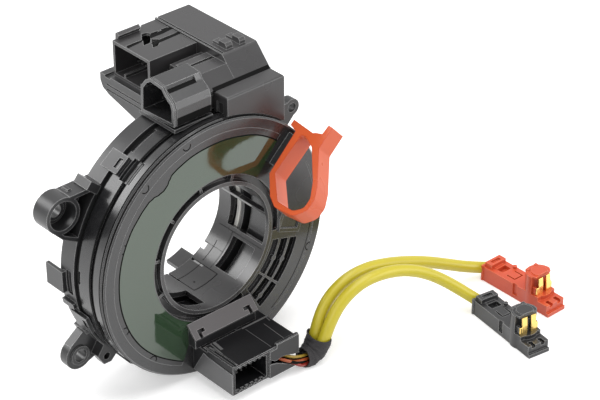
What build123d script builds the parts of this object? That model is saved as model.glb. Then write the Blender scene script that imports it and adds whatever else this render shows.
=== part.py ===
"""Steering clock spring: spiral cable unit with angle sensor case, sockets, airbag leads and lock clip.

Frame: origin on the bore's axis in the mounting plane, the steering wheel's side is -Y, +Z up, mm.
A station is a distance in front of the mounting plane, so it lies on y = -station.
"""
import os
from math import cos, pi, radians, sin, tan

from build123d import *

# Ring cases, one behind the other
CASE_R = 54.8
CASE_WALL = 2.2
MIDDLE_STEP = 0.8
MIDDLE_WALL = 3.6
SPIGOT_WALL = 2.0
REAR_DEPTH = 8.4
REAR_FLOOR = 1.5
GROOVE = 1.2
MIDDLE_DEPTH = 8.0
MIDDLE_FLOOR = 1.0
COLLAR_DEPTH = 5.0
COLLAR_RIM = 3.6
COLLAR_PLATE = 1.4
COLLAR_SINK = 2.5
SEAT_GAP = 0.05
PAD_STAND = 0.4

# Turning parts
BORE_R = 26.0
HUB_WALL = 2.2
HUB_LIP_WALL = 1.7
CHANNEL_WIDTH = 2.4
SKIRT_WALL = 1.6
DISC_GAP = 0.7
DISC_THICK = 1.5
TURN_GAP = 0.3
SKIRT_GAP = 1.0
HUB_OVERHANG = 4.0
TONGUE_RELIEF = 0.5

CASE_WALL_R = CASE_R - CASE_WALL
MIDDLE_R = CASE_R - MIDDLE_STEP
MIDDLE_WALL_R = MIDDLE_R - MIDDLE_WALL
SPIGOT_R = MIDDLE_WALL_R + SPIGOT_WALL
SEAT_R = CASE_R + SEAT_GAP
HUB_R = BORE_R + HUB_WALL
HUB_LIP_R = BORE_R + HUB_LIP_WALL
DISC_BORE_R = HUB_R + CHANNEL_WIDTH
HUB_FLANGE_R = DISC_BORE_R - 0.1
SKIRT_R = DISC_BORE_R + SKIRT_WALL
PLATE_BORE_R = SKIRT_R + SKIRT_GAP
REAR_BORE_R = HUB_R + TURN_GAP

REAR_FLOOR_BACK = REAR_DEPTH - REAR_FLOOR
MIDDLE_START = REAR_DEPTH + GROOVE
MIDDLE_END = MIDDLE_START + MIDDLE_DEPTH
FLOOR_FRONT = MIDDLE_START + MIDDLE_FLOOR
COLLAR_START = MIDDLE_END + GROOVE
COLLAR_END = COLLAR_START + COLLAR_DEPTH
PLATE_FRONT = COLLAR_END - COLLAR_SINK
PLATE_BACK = PLATE_FRONT - COLLAR_PLATE
DISC_BACK = COLLAR_END + DISC_GAP
DISC_FACE = DISC_BACK + DISC_THICK
SKIRT_BACK = FLOOR_FRONT - 0.4

# Fixing lugs: how far a lug's centre stands outside the case, and its angle above the horizontal
UPPER_REACH = 10.3
UPPER_ANGLE = 27.9
UPPER_LUG_R = 7.5
SMALL_LUG_R = 3.7
SMALL_HOLE_R = 2.0
LOWER_REACH = 8.45
LOWER_ANGLE = -35.8
LOWER_LUG_R = 6.2
LUG_WALL = 1.6
LUG_HOLE_R = 2.7
LUG_FLOOR = 2.0
BOSS_R = 4.1
BOSS_TOP = 3.2
LOWER_LUG_THICK = 4.0
LOWER_RIM_R = 4.1
RIM_RISE = 0.8
# webs as (overhang past the case, angle)
UPPER_WEB = [(-1.2, 44.2), (10.8, 34.6), (13.1, 22.0), (7.2, 19.4), (-1.2, 17.8)]
SMALL_WEB = [(-1.2, 37.0), (10.3, 30.9), (10.3, 24.9), (-1.2, 20.0)]
LOWER_WEB = [(-1.2, -28.6), (8.9, -30.0), (13.7, -38.7), (8.5, -41.4), (-1.2, -45.5)]
TIE_WEB = [(-1.2, -47.6), (3.8, -47.4), (6.2, -44.9), (5.0, -40.0), (-1.2, -38.0)]

# Hook straps of the rear case over the nibs of the middle case
STRAP_ANGLES = (127.0, 199.0, 236.0, 304.0)
STRAP_WIDTH = 8.0
STRAP_THICK = 1.6
NIB_WIDTH = 3.6
NIB_DEPTH = 1.6
NIB_RISE = 1.2

# Angle sensor
SCREW_HEAD = 1.0
COVER_THICK = 1.4
PAD_RISE = 0.4
BOARD_THICK = 0.8
BOARD_INSET = 5.6
MAGNET_GAP = 0.3
MAGNET_THICK = 0.6
GEAR_THICK = 2.1
GEAR_MODULE = 0.9
GEAR_RING = 2.4
GEAR_1_TEETH = 17
GEAR_2_TEETH = 19
GEAR_1_ANGLE = 75.0
GEAR_2_ANGLE = 105.0
TOOTH_RISE = 0.62
TOOTH_DROP = 0.85
TOOTH_SHARE = 0.44
PIN_R = 1.2
SCREW_R = 1.1
SCREW_HEAD_R = 2.2
SCREW_LENGTH = 5.4
SCREW_INSET = 2.6
SCREW_ANGLES = (20.0, 160.0, 205.0, -25.0)

DRIVE_TEETH = round(2.0 * (HUB_R + GEAR_RING) / GEAR_MODULE)
COVER_FRONT = SCREW_HEAD + COVER_THICK
PAD_TOP = COVER_FRONT + PAD_RISE
BOARD_FRONT = PAD_TOP + BOARD_THICK
MAGNET_BACK = BOARD_FRONT + MAGNET_GAP
GEAR_BACK = MAGNET_BACK + MAGNET_THICK
GEAR_FRONT = GEAR_BACK + GEAR_THICK
SCREW_RING_R = CASE_WALL_R - SCREW_INSET
GEAR_1_AT = GEAR_MODULE * (DRIVE_TEETH + GEAR_1_TEETH) / 2.0
GEAR_2_AT = GEAR_MODULE * (DRIVE_TEETH + GEAR_2_TEETH) / 2.0

# Ribbon: half turns between the skirt and the middle case
RIBBON_THICK = 0.35
RIBBON_HALF_TURNS = 12
RIBBON_GAP = 0.25
RIBBON_START_R = SKIRT_R + RIBBON_GAP + RIBBON_THICK / 2.0
RIBBON_STEP = 2.0 * (MIDDLE_WALL_R - RIBBON_GAP - RIBBON_THICK / 2.0 - RIBBON_START_R) / RIBBON_HALF_TURNS
RIBBON_BACK = FLOOR_FRONT + 0.4
RIBBON_FRONT = PLATE_BACK - 0.4

# Socket carrier on the case's crown: sizes across (x), along (y) and above its tray
CROWN_DROP = 0.3
TRAY_THICK = 2.2
BASE_LEFT = -7.0
BASE_RIGHT = 35.5
BASE_REAR = 34.0
BASE_SIDE = 1.8
COVER_LEFT = 3.6
COVER_STEP = 18.5
COVER_REAR = 31.5
COVER_NOSE = -16.4
COVER_WALL = 1.6
COVER_HEIGHT = 15.5
LEDGE_HEIGHT = 12.7
NOSE_HEIGHT = 7.2
BOX_LEFT = 7.5
BOX_DEPTH = 8.2
BOX_HEIGHT = 7.3
BOX_WALL = 1.8
SMALL_SHELF = 0.9
BASE_TOP = CASE_R - CROWN_DROP

# Sockets
LARGE_LEFT = -4.4
LARGE_FRONT = 6.0
LARGE_REAR = 28.5
LARGE_HEIGHT = 14.9
LARGE_DEPTH = 17.4
REAR_SHELF = 2.6
SOCKET_WALL = 1.2
SMALL_LEFT = -15.0
SMALL_DEPTH = 15.0
SMALL_WALL = 1.3
PIN_SIZE = 0.64
PIN_FIT = 0.08
WHEEL_LEFT = -13.4
WHEEL_RIGHT = 4.5
WHEEL_TOP = -37.7
WHEEL_LOW = -50.0
WHEEL_DEPTH = 24.0
WHEEL_CAVITY = 16.0
GUIDE_RIGHT = 20.0
BRIDGE_TOP = -28.6
BRIDGE_DEPTH = 8.0
BRIDGE_WALL = 1.6
BRIDGE_LEFT = -15.7
BRIDGE_RIGHT = 15.4

# Leads
LEAD_D = 5.0
UPPER_LEAD = [
    (31.0, -46.6, -46.6), (33.4, -46.3, -38.2), (39.0, -46.0, -30.4), (48.0, -46.0, -25.8),
    (59.0, -46.0, -25.4), (71.0, -46.0, -28.4), (83.2, -46.1, -32.9), (94.0, -46.5, -37.7),
    (103.9, -47.5, -42.7), (114.6, -49.7, -47.8), (124.3, -53.0, -50.7),
]
LOWER_LEAD = [
    (31.6, -51.5, -45.0), (34.9, -51.7, -36.8), (41.0, -52.1, -29.2), (50.3, -52.7, -24.9),
    (60.8, -53.6, -24.8), (71.3, -54.6, -27.3), (81.1, -56.2, -31.9), (89.7, -58.7, -38.0),
    (97.1, -62.8, -44.8), (103.1, -68.6, -50.6),
]
WIRE_R = 0.65
WIRE_BEND = 2.0
SLEEVE_BORE_R = 5.35
SLEEVE_WALL = 0.75

# Airbag plugs, measured along the plug from its rear end, across it and up from its underside
PLUG_LENGTH = 37.5
PLUG_WIDTH = 10.0
PLUG_HEIGHT = 6.8
PLUG_NOSE = 6.0
NOSE_STEP = 1.8
REAR_RIM = 0.9
RIM_PROUD = 0.4
BARREL_AT = 27.0
BARREL_R = 5.5
BARREL_TOP = 15.0
BARREL_CUT = 0.9
BARREL_RECESS_R = 3.4
BLADE_GAP = 3.4
BLADE_WIDTH = 1.5
BLADE_THICK = 0.6
SLIDER_BACK = 1.0
SLIDER_LENGTH = 3.8
SLIDER_TONGUE = 5.2
SLIDER_TRAVEL = 3.0
SLIDER_HALF = 4.2
TONGUE_HALF = 2.4
TONGUE_THICK = 1.6
SLIDER_RISE = 2.0
SLIDE_GAP = 0.1
FLOOR_Z = -54.0
ORANGE_PLANE = Plane(origin=(123.9, -53.3, FLOOR_Z), x_dir=(0.0, -1.0, 0.0), z_dir=(0, 0, 1))
BLACK_PLANE = Plane(origin=(103.4, -68.8, FLOOR_Z), x_dir=(-0.155, -0.988, 0.0), z_dir=(0, 0, 1))

# Lock clip
CLIP_ANGLE = 43.0
CLIP_SIDE_BACK = -3.0
CLIP_WIDTH = 8.0
CLIP_PIN_AT = 44.0
CLIP_PIN_R = 1.4


def across(station):
    """Plane square to the axis at a station, its normal towards the steering wheel."""
    return Plane.XZ.offset(station)


def polar(radius, angle):
    """Point (x, z) at a radius and an angle about the axis."""
    return (radius * cos(radians(angle)), radius * sin(radians(angle)))


def profile(points):
    """Turn (radius, station) pairs into points of the revolved half plane."""
    return [(radius, -station) for radius, station in points]


def web(corners, side):
    """Corners (x, z) of a lug's web on the right (1) or the left (-1) of the case."""
    points = [polar(CASE_R + overhang, angle) for overhang, angle in corners]
    return [(side * x, z) for x, z in points]


def above(points, base=BASE_TOP):
    """Points (y, z) from places along the case and heights above the tray."""
    return [(y, base + height) for y, height in points]


def block(low, high, mode=Mode.ADD):
    """Rectangular block between two opposite corners."""
    size = [b - a for a, b in zip(low, high)]
    with Locations(tuple(low)):
        Box(*size, align=(Align.MIN, Align.MIN, Align.MIN), mode=mode)


def sector(inner_r, outer_r, start, span, mode=Mode.ADD):
    """Ring sector about the axis in the open sketch."""
    inner = Edge.make_circle(inner_r, start_angle=start, end_angle=start + span)
    outer = Edge.make_circle(outer_r, start_angle=start, end_angle=start + span)
    sides = [Edge.make_line(inner @ 0, outer @ 0), Edge.make_line(inner @ 1, outer @ 1)]
    make_face([inner, outer, *sides], mode=mode)


def tooth_outline(teeth, rise=TOOTH_RISE, drop=TOOTH_DROP):
    """Outline of a straight flanked gear as points about its own centre."""
    pitch_r = GEAR_MODULE * teeth / 2.0
    pitch_half = pi / teeth * TOOTH_SHARE
    lean = 0.36
    tip_half = pitch_half - rise * lean / pitch_r
    root_half = pitch_half + drop * lean / pitch_r
    points = []
    for k in range(teeth):
        middle = 2.0 * pi * k / teeth
        for radius, turn in (
            (pitch_r - drop, -root_half),
            (pitch_r + rise, -tip_half),
            (pitch_r + rise, tip_half),
            (pitch_r - drop, root_half),
        ):
            points.append((radius * cos(middle + turn), radius * sin(middle + turn)))
    return points


def gear_turn(teeth, angle):
    """Rotation that puts a gap of the measuring gear over the drive gear's tooth."""
    shift = angle % (360.0 / DRIVE_TEETH)
    facing = angle + 180.0
    return facing + 180.0 / teeth + shift * DRIVE_TEETH / teeth


def lead_mouth(route):
    """Plane across a lead just past its end, its normal back along the lead."""
    way = Vector(*route[-1]) - Vector(*route[-2])
    return Plane(origin=Vector(*route[-1]) + way.normalized() * 0.1, z_dir=way * -1.0)


def bend_radii(points):
    """Fillet radius of each inner corner of a route."""
    radii = []
    for a, b, c in zip(points, points[1:], points[2:]):
        first = Vector(*b) - Vector(*a)
        second = Vector(*c) - Vector(*b)
        turn = radians(first.get_angle(second))
        radii.append(0.45 * min(first.length, second.length) / tan(turn / 2.0))
    return radii


os.makedirs("parts", exist_ok=True)

UPPER_LUG = polar(CASE_R + UPPER_REACH, UPPER_ANGLE)
LOWER_LUG = polar(CASE_R + LOWER_REACH, LOWER_ANGLE)
CASE_ROOT_R = CASE_R - CASE_WALL / 2.0

# Rear case: open-backed sensor chamber, its lugs' pads stand a little behind its rim
with BuildPart() as rear_case:
    with BuildSketch(Plane.XY):
        with BuildLine():
            Polyline(
                *profile([
                    (CASE_WALL_R, PAD_STAND), (CASE_R, PAD_STAND), (CASE_R, REAR_DEPTH),
                    (SPIGOT_R, REAR_DEPTH), (SPIGOT_R, MIDDLE_START),
                    (MIDDLE_WALL_R, MIDDLE_START), (MIDDLE_WALL_R, REAR_DEPTH),
                    (REAR_BORE_R, REAR_DEPTH), (REAR_BORE_R, REAR_FLOOR_BACK),
                    (CASE_WALL_R, REAR_FLOOR_BACK),
                ]),
                close=True,
            )
        make_face()
    revolve(axis=Axis.Y)
    # upper left lug: a deep cup and a hollow web, both open to the front
    with BuildSketch(across(0.0)):
        with Locations((-UPPER_LUG[0], UPPER_LUG[1])):
            Circle(UPPER_LUG_R)
        Polygon(*web(UPPER_WEB, -1), align=None)
        Circle(CASE_ROOT_R, mode=Mode.SUBTRACT)
    extrude(amount=REAR_DEPTH)
    with BuildSketch(across(LUG_FLOOR)):
        with Locations((-UPPER_LUG[0], UPPER_LUG[1])):
            Circle(UPPER_LUG_R)
        Polygon(*web(UPPER_WEB, -1), align=None)
        offset(amount=-LUG_WALL, mode=Mode.REPLACE)
        Circle(CASE_R, mode=Mode.SUBTRACT)
        with Locations((-UPPER_LUG[0], UPPER_LUG[1])):
            Circle(UPPER_LUG_R, mode=Mode.SUBTRACT)
            Circle(UPPER_LUG_R - LUG_WALL)
    extrude(amount=REAR_DEPTH, mode=Mode.SUBTRACT)
    with BuildSketch(across(LUG_FLOOR)):
        with Locations((-UPPER_LUG[0], UPPER_LUG[1])):
            Circle(BOSS_R)
    extrude(amount=BOSS_TOP - LUG_FLOOR)
    # upper right lug: a small ring, with the web to the case
    with BuildSketch(across(0.0)):
        with Locations(UPPER_LUG):
            Circle(SMALL_LUG_R)
        Polygon(*web(SMALL_WEB, 1), align=None)
        Circle(CASE_ROOT_R, mode=Mode.SUBTRACT)
    extrude(amount=LOWER_LUG_THICK)
    # lower lugs: flat ears with a raised rim round the hole, and a tie web beside each
    for side in (-1, 1):
        with BuildSketch(across(0.0)):
            with Locations((side * LOWER_LUG[0], LOWER_LUG[1])):
                Circle(LOWER_LUG_R)
            Polygon(*web(LOWER_WEB, side), align=None)
            Circle(CASE_ROOT_R, mode=Mode.SUBTRACT)
        extrude(amount=LOWER_LUG_THICK)
        with BuildSketch(across(LOWER_LUG_THICK)):
            with Locations((side * LOWER_LUG[0], LOWER_LUG[1])):
                Circle(LOWER_RIM_R)
        extrude(amount=RIM_RISE)
        with BuildSketch(across(LOWER_LUG_THICK)):
            Polygon(*web(TIE_WEB, side), align=None)
            Circle(CASE_ROOT_R, mode=Mode.SUBTRACT)
            with Locations(polar(CASE_R + 2.8, -90.0 + side * 46.3)):
                Circle(1.5, mode=Mode.SUBTRACT)
        extrude(amount=REAR_DEPTH - LOWER_LUG_THICK)
    with BuildSketch(across(-1.0)):
        with Locations(
            (-UPPER_LUG[0], UPPER_LUG[1]), (LOWER_LUG[0], LOWER_LUG[1]), (-LOWER_LUG[0], LOWER_LUG[1]),
        ):
            Circle(LUG_HOLE_R)
        with Locations(UPPER_LUG):
            Circle(SMALL_HOLE_R)
    extrude(amount=REAR_DEPTH + 2.0, mode=Mode.SUBTRACT)
    # bosses for the cover's screws and pins for the measuring gears
    with BuildSketch(across(COVER_FRONT)):
        for angle in SCREW_ANGLES:
            with Locations(polar(SCREW_RING_R, angle)):
                Circle(SCREW_R + 1.8)
        Circle(CASE_ROOT_R, mode=Mode.INTERSECT)
    extrude(amount=REAR_FLOOR_BACK - COVER_FRONT)
    with BuildSketch(across(COVER_FRONT)):
        for angle in SCREW_ANGLES:
            with Locations(polar(SCREW_RING_R, angle)):
                Circle(SCREW_R + 0.05)
    extrude(amount=SCREW_LENGTH - COVER_THICK + 0.2, mode=Mode.SUBTRACT)
    with BuildSketch(across(GEAR_BACK + 0.5)):
        with Locations(polar(GEAR_1_AT, GEAR_1_ANGLE), polar(GEAR_2_AT, GEAR_2_ANGLE)):
            Circle(PIN_R)
    extrude(amount=REAR_FLOOR_BACK - GEAR_BACK - 0.4)
    # hook straps with their windows
    with BuildSketch(across(REAR_DEPTH / 2.0)):
        for angle in STRAP_ANGLES:
            with Locations(Location(polar(MIDDLE_R + TURN_GAP + STRAP_THICK / 2.0, angle), angle)):
                Rectangle(STRAP_THICK, STRAP_WIDTH)
    extrude(amount=MIDDLE_START + 3.8 - REAR_DEPTH / 2.0)
    with BuildSketch(across(MIDDLE_START + 0.5)):
        for angle in STRAP_ANGLES:
            with Locations(Location(polar(MIDDLE_R + STRAP_THICK, angle), angle)):
                Rectangle(2.0 * STRAP_THICK, NIB_WIDTH + 0.6)
    extrude(amount=NIB_DEPTH + 0.6, mode=Mode.SUBTRACT)
    # ribs of the lower left side and the recess with the locating blade
    with BuildSketch(across(1.0)):
        for angle in (191.5, 206.5):
            with Locations(Location(polar(CASE_R + 0.3, angle), angle)):
                Rectangle(2.6, 2.4)
    extrude(amount=REAR_DEPTH - 1.6)
    with BuildSketch(across(3.8)):
        sector(CASE_ROOT_R, CASE_R + 1.0, 176.0, 11.0)
    extrude(amount=3.2, mode=Mode.SUBTRACT)
    block((-CASE_R - 1.8, -3.6, -6.3), (-CASE_WALL_R, -1.8, 2.9))
    block((-CASE_R - 1.8, -3.6, -6.3), (-CASE_R - 0.3, 6.5, 2.9))
    # tab and peg on the upper left web
    with BuildSketch(across(1.0)):
        with Locations(Location(polar(CASE_R + 2.6, 139.6), 139.6)):
            Rectangle(5.6, 3.6)
        Circle(CASE_ROOT_R, mode=Mode.SUBTRACT)
    extrude(amount=REAR_DEPTH - 0.2)
    with BuildSketch(across(1.4)):
        with Locations(polar(CASE_R + 8.7, 144.4)):
            Circle(1.1)
    extrude(amount=3.4)
rear_case.part.label = "rear_case"
export_step(rear_case.part, "parts/rear_case.step")

# Middle case: the ribbon chamber's rear half, with a nib under each strap
with BuildPart() as middle_case:
    with BuildSketch(Plane.XY):
        with BuildLine():
            Polyline(
                *profile([
                    (MIDDLE_R, MIDDLE_START), (MIDDLE_R, MIDDLE_END),
                    (SPIGOT_R, MIDDLE_END), (SPIGOT_R, COLLAR_START),
                    (MIDDLE_WALL_R, COLLAR_START), (MIDDLE_WALL_R, FLOOR_FRONT),
                    (PLATE_BORE_R, FLOOR_FRONT), (PLATE_BORE_R, MIDDLE_START),
                ]),
                close=True,
            )
        make_face()
    revolve(axis=Axis.Y)
    with BuildSketch(across(MIDDLE_START + 0.8)):
        for angle in STRAP_ANGLES:
            with Locations(Location(polar(MIDDLE_R + NIB_RISE / 2.0 - 0.3, angle), angle)):
                Rectangle(NIB_RISE + 0.6, NIB_WIDTH)
    extrude(amount=NIB_DEPTH)
    # recesses along the joint lines
    with BuildSketch(across(MIDDLE_END - 3.4)):
        sector(SPIGOT_R, CASE_R, 121.5, 10.5)
    extrude(amount=3.4 + GROOVE, mode=Mode.SUBTRACT)
    with BuildSketch(across(MIDDLE_START)):
        sector(SPIGOT_R, CASE_R, 107.0, 13.0)
        sector(SPIGOT_R, CASE_R, 173.8, 6.0)
    extrude(amount=1.8, mode=Mode.SUBTRACT)
middle_case.part.label = "middle_case"
export_step(middle_case.part, "parts/middle_case.step")

# Front collar: its plate closes the ribbon chamber, sunk behind the rim
with BuildPart() as front_collar:
    with BuildSketch(Plane.XY):
        with BuildLine():
            Polyline(
                *profile([
                    (MIDDLE_R, COLLAR_START), (MIDDLE_R, COLLAR_END - 0.6), (MIDDLE_R - 0.6, COLLAR_END),
                    (MIDDLE_R - COLLAR_RIM, COLLAR_END), (MIDDLE_R - COLLAR_RIM, PLATE_FRONT),
                    (PLATE_BORE_R, PLATE_FRONT), (PLATE_BORE_R, PLATE_BACK),
                    (MIDDLE_WALL_R, PLATE_BACK), (MIDDLE_WALL_R, COLLAR_START),
                ]),
                close=True,
            )
        make_face()
    revolve(axis=Axis.Y)
    with BuildSketch(across(COLLAR_START)):
        sector(SPIGOT_R, CASE_R, 121.5, 10.5)
        sector(SPIGOT_R, CASE_R, 193.5, 9.0)
    extrude(amount=1.4, mode=Mode.SUBTRACT)
front_collar.part.label = "front_collar"
export_step(front_collar.part, "parts/front_collar.step")

# Connector base: tray on the case's crown between two ribbed side walls
SIDE_WALL = [
    (0.4, -1.5), (0.4, -14.5), (12.0, -12.2), (29.0, -7.8), (32.6, -6.0),
    (BASE_REAR, -3.4), (BASE_REAR, -1.5),
]
with BuildPart() as connector_base:
    block((BASE_LEFT, -9.0, BASE_TOP - TRAY_THICK), (BASE_RIGHT, BASE_REAR, BASE_TOP))
    for wall_x in (BASE_LEFT, BASE_RIGHT - BASE_SIDE):
        with BuildSketch(Plane.YZ.offset(wall_x)):
            Polygon(*above(SIDE_WALL), align=None)
        extrude(amount=BASE_SIDE)
    # two grooves along the left wall
    for groove_z in (BASE_TOP - 4.0, BASE_TOP - 6.2):
        block((BASE_LEFT - 0.1, 1.0, groove_z), (BASE_LEFT + 0.5, 30.0, groove_z + 0.7), Mode.SUBTRACT)
    # saddle over the middle case and the collar, under the terminal cover
    block((COVER_LEFT, COVER_NOSE, BASE_TOP - 15.5), (BASE_RIGHT, -0.6, BASE_TOP))
    block((SMALL_LEFT + 0.3, -21.0, BASE_TOP - 0.6), (COVER_LEFT - 0.05, 0.0, BASE_TOP + SMALL_SHELF))
    # recess across the rear of the tray
    block(
        (BASE_LEFT - 0.1, LARGE_REAR - 1.0, BASE_TOP - 0.8),
        (BASE_RIGHT + 0.1, COVER_REAR - 0.6, BASE_TOP + 0.1),
        Mode.SUBTRACT,
    )
    with BuildSketch(across(-1.0)):
        Circle(SEAT_R)
    extrude(amount=40.0, mode=Mode.SUBTRACT)
connector_base.part.label = "connector_base"
export_step(connector_base.part, "parts/connector_base.step")

# Terminal cover: hollow, sloped in front, with a lower ledge on its left
RIGHT_OUTLINE = [
    (COVER_REAR, 0.0), (COVER_REAR, COVER_HEIGHT), (-8.5, COVER_HEIGHT), (-9.2, COVER_HEIGHT - 0.5),
    (COVER_NOSE, NOSE_HEIGHT), (COVER_NOSE, 0.0),
]
LEFT_OUTLINE = [
    (4.0, 0.0), (4.0, LEDGE_HEIGHT - 1.2), (0.6, LEDGE_HEIGHT - 1.2), (0.6, LEDGE_HEIGHT),
    (-11.2, LEDGE_HEIGHT), (COVER_NOSE, NOSE_HEIGHT), (COVER_NOSE, 0.0),
]
RIGHT_HOLLOW = [
    (COVER_REAR - COVER_WALL, -1.0), (COVER_REAR - COVER_WALL, COVER_HEIGHT - COVER_WALL),
    (-8.2, COVER_HEIGHT - COVER_WALL), (COVER_NOSE + COVER_WALL, NOSE_HEIGHT - 0.5),
    (COVER_NOSE + COVER_WALL, -1.0),
]
LEFT_HOLLOW = [
    (4.0 - COVER_WALL, -1.0), (4.0 - COVER_WALL, LEDGE_HEIGHT - 1.2 - COVER_WALL),
    (-2.0, LEDGE_HEIGHT - 1.2 - COVER_WALL),
    (-10.6, LEDGE_HEIGHT - COVER_WALL), (COVER_NOSE + COVER_WALL, NOSE_HEIGHT - 0.5),
    (COVER_NOSE + COVER_WALL, -1.0),
]
HOOK = [(1.0, -0.5), (1.0, 1.0), (-2.6, 1.0), (-2.6, 2.4), (-6.2, 2.4), (-7.0, 1.4), (-7.0, -0.5)]
COVER_TOP = BASE_TOP + COVER_HEIGHT
with BuildPart() as terminal_cover:
    for outline, start, end in (
        (RIGHT_OUTLINE, COVER_STEP, BASE_RIGHT), (LEFT_OUTLINE, COVER_LEFT, COVER_STEP),
    ):
        with BuildSketch(Plane.YZ.offset(start)):
            Polygon(*above(outline), align=None)
        extrude(amount=end - start)
    for hollow, start, end in (
        (RIGHT_HOLLOW, COVER_STEP + COVER_WALL, BASE_RIGHT - COVER_WALL),
        (LEFT_HOLLOW, COVER_LEFT + COVER_WALL, COVER_STEP - COVER_WALL / 2.0),
    ):
        with BuildSketch(Plane.YZ.offset(start)):
            Polygon(*above(hollow), align=None)
        extrude(amount=end - start, mode=Mode.SUBTRACT)
    # two hooks on the roof
    for hook_x, hook_width in ((COVER_STEP + 3.5, 3.2), (COVER_STEP + 10.1, 2.8)):
        with BuildSketch(Plane.YZ.offset(hook_x)):
            Polygon(*above(HOOK, COVER_TOP), align=None)
        extrude(amount=hook_width)
    # groove along the roof's left edge, groove under the slope, groove of the ledge
    block(
        (COVER_STEP + 0.8, -8.0, COVER_TOP - 0.8),
        (COVER_STEP + 1.5, COVER_REAR + 0.1, COVER_TOP + 0.1), Mode.SUBTRACT,
    )
    block(
        (COVER_LEFT - 0.1, COVER_NOSE - 0.1, BASE_TOP + NOSE_HEIGHT - 1.5),
        (BASE_RIGHT + 0.1, COVER_NOSE + 0.7, BASE_TOP + NOSE_HEIGHT - 0.8), Mode.SUBTRACT,
    )
    block(
        (COVER_LEFT + 1.6, -4.7, BASE_TOP + LEDGE_HEIGHT - 0.9),
        (COVER_STEP - 0.2, -3.1, BASE_TOP + LEDGE_HEIGHT + 0.1), Mode.SUBTRACT,
    )
    with BuildSketch(across(-1.0)):
        Circle(SEAT_R)
    extrude(amount=20.0, mode=Mode.SUBTRACT)
terminal_cover.part.label = "terminal_cover"
export_step(terminal_cover.part, "parts/terminal_cover.step")

# Front box over the rotor's upper edge
BOX_REAR = COVER_NOSE - 0.1
BOX_FRONT = BOX_REAR - BOX_DEPTH
BOX_TOP = BASE_TOP + BOX_HEIGHT
with BuildPart() as front_box:
    block((BOX_LEFT, BOX_FRONT, BASE_TOP - 12.5), (BASE_RIGHT, BOX_REAR, BOX_TOP))
    fillet(
        front_box.edges().filter_by(Axis.X).sort_by(Axis.Z)[-2:]
        + front_box.edges().filter_by(Axis.Y).sort_by(Axis.Z)[-2:],
        1.1,
    )
    block(
        (BOX_LEFT + BOX_WALL, BOX_FRONT + BOX_WALL, BASE_TOP - 4.5),
        (BASE_RIGHT - BOX_WALL, BOX_REAR + 0.1, BOX_TOP - BOX_WALL), Mode.SUBTRACT,
    )
    # recess down its left face
    block(
        (BOX_LEFT - 0.1, BOX_FRONT + 2.6, BASE_TOP - 8.0), (BOX_LEFT + 0.9, BOX_REAR - 2.0, BOX_TOP - 3.4),
        Mode.SUBTRACT,
    )
    with BuildSketch(across(0.0)):
        Circle(MIDDLE_R + SEAT_GAP)
    extrude(amount=COLLAR_END + 0.4, mode=Mode.SUBTRACT)
    with BuildSketch(across(COLLAR_END + 0.2)):
        Circle(MIDDLE_R + 2.0 * TURN_GAP)
    extrude(amount=3.0, mode=Mode.SUBTRACT)
front_box.part.label = "front_box"
export_step(front_box.part, "parts/front_box.step")

# Large column-side socket, open to the left
LARGE_RIGHT = COVER_STEP - 0.2
LARGE_TOP = BASE_TOP + LARGE_HEIGHT
LARGE_PINS = [(12.2 + 2.4 * i, BASE_TOP + 4.5 + 5.2 * j) for i in range(6) for j in range(2)]
FLAP_FOOT = [(-0.1, -2.2), (1.1, -1.6), (1.1, -0.9), (-0.1, -0.9)]
FLAP = [(0.3, -1.0), (-0.8, 0.9), (-1.3, 1.5), (0.0, 2.6), (0.9, 1.9), (1.1, -1.0)]
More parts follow.
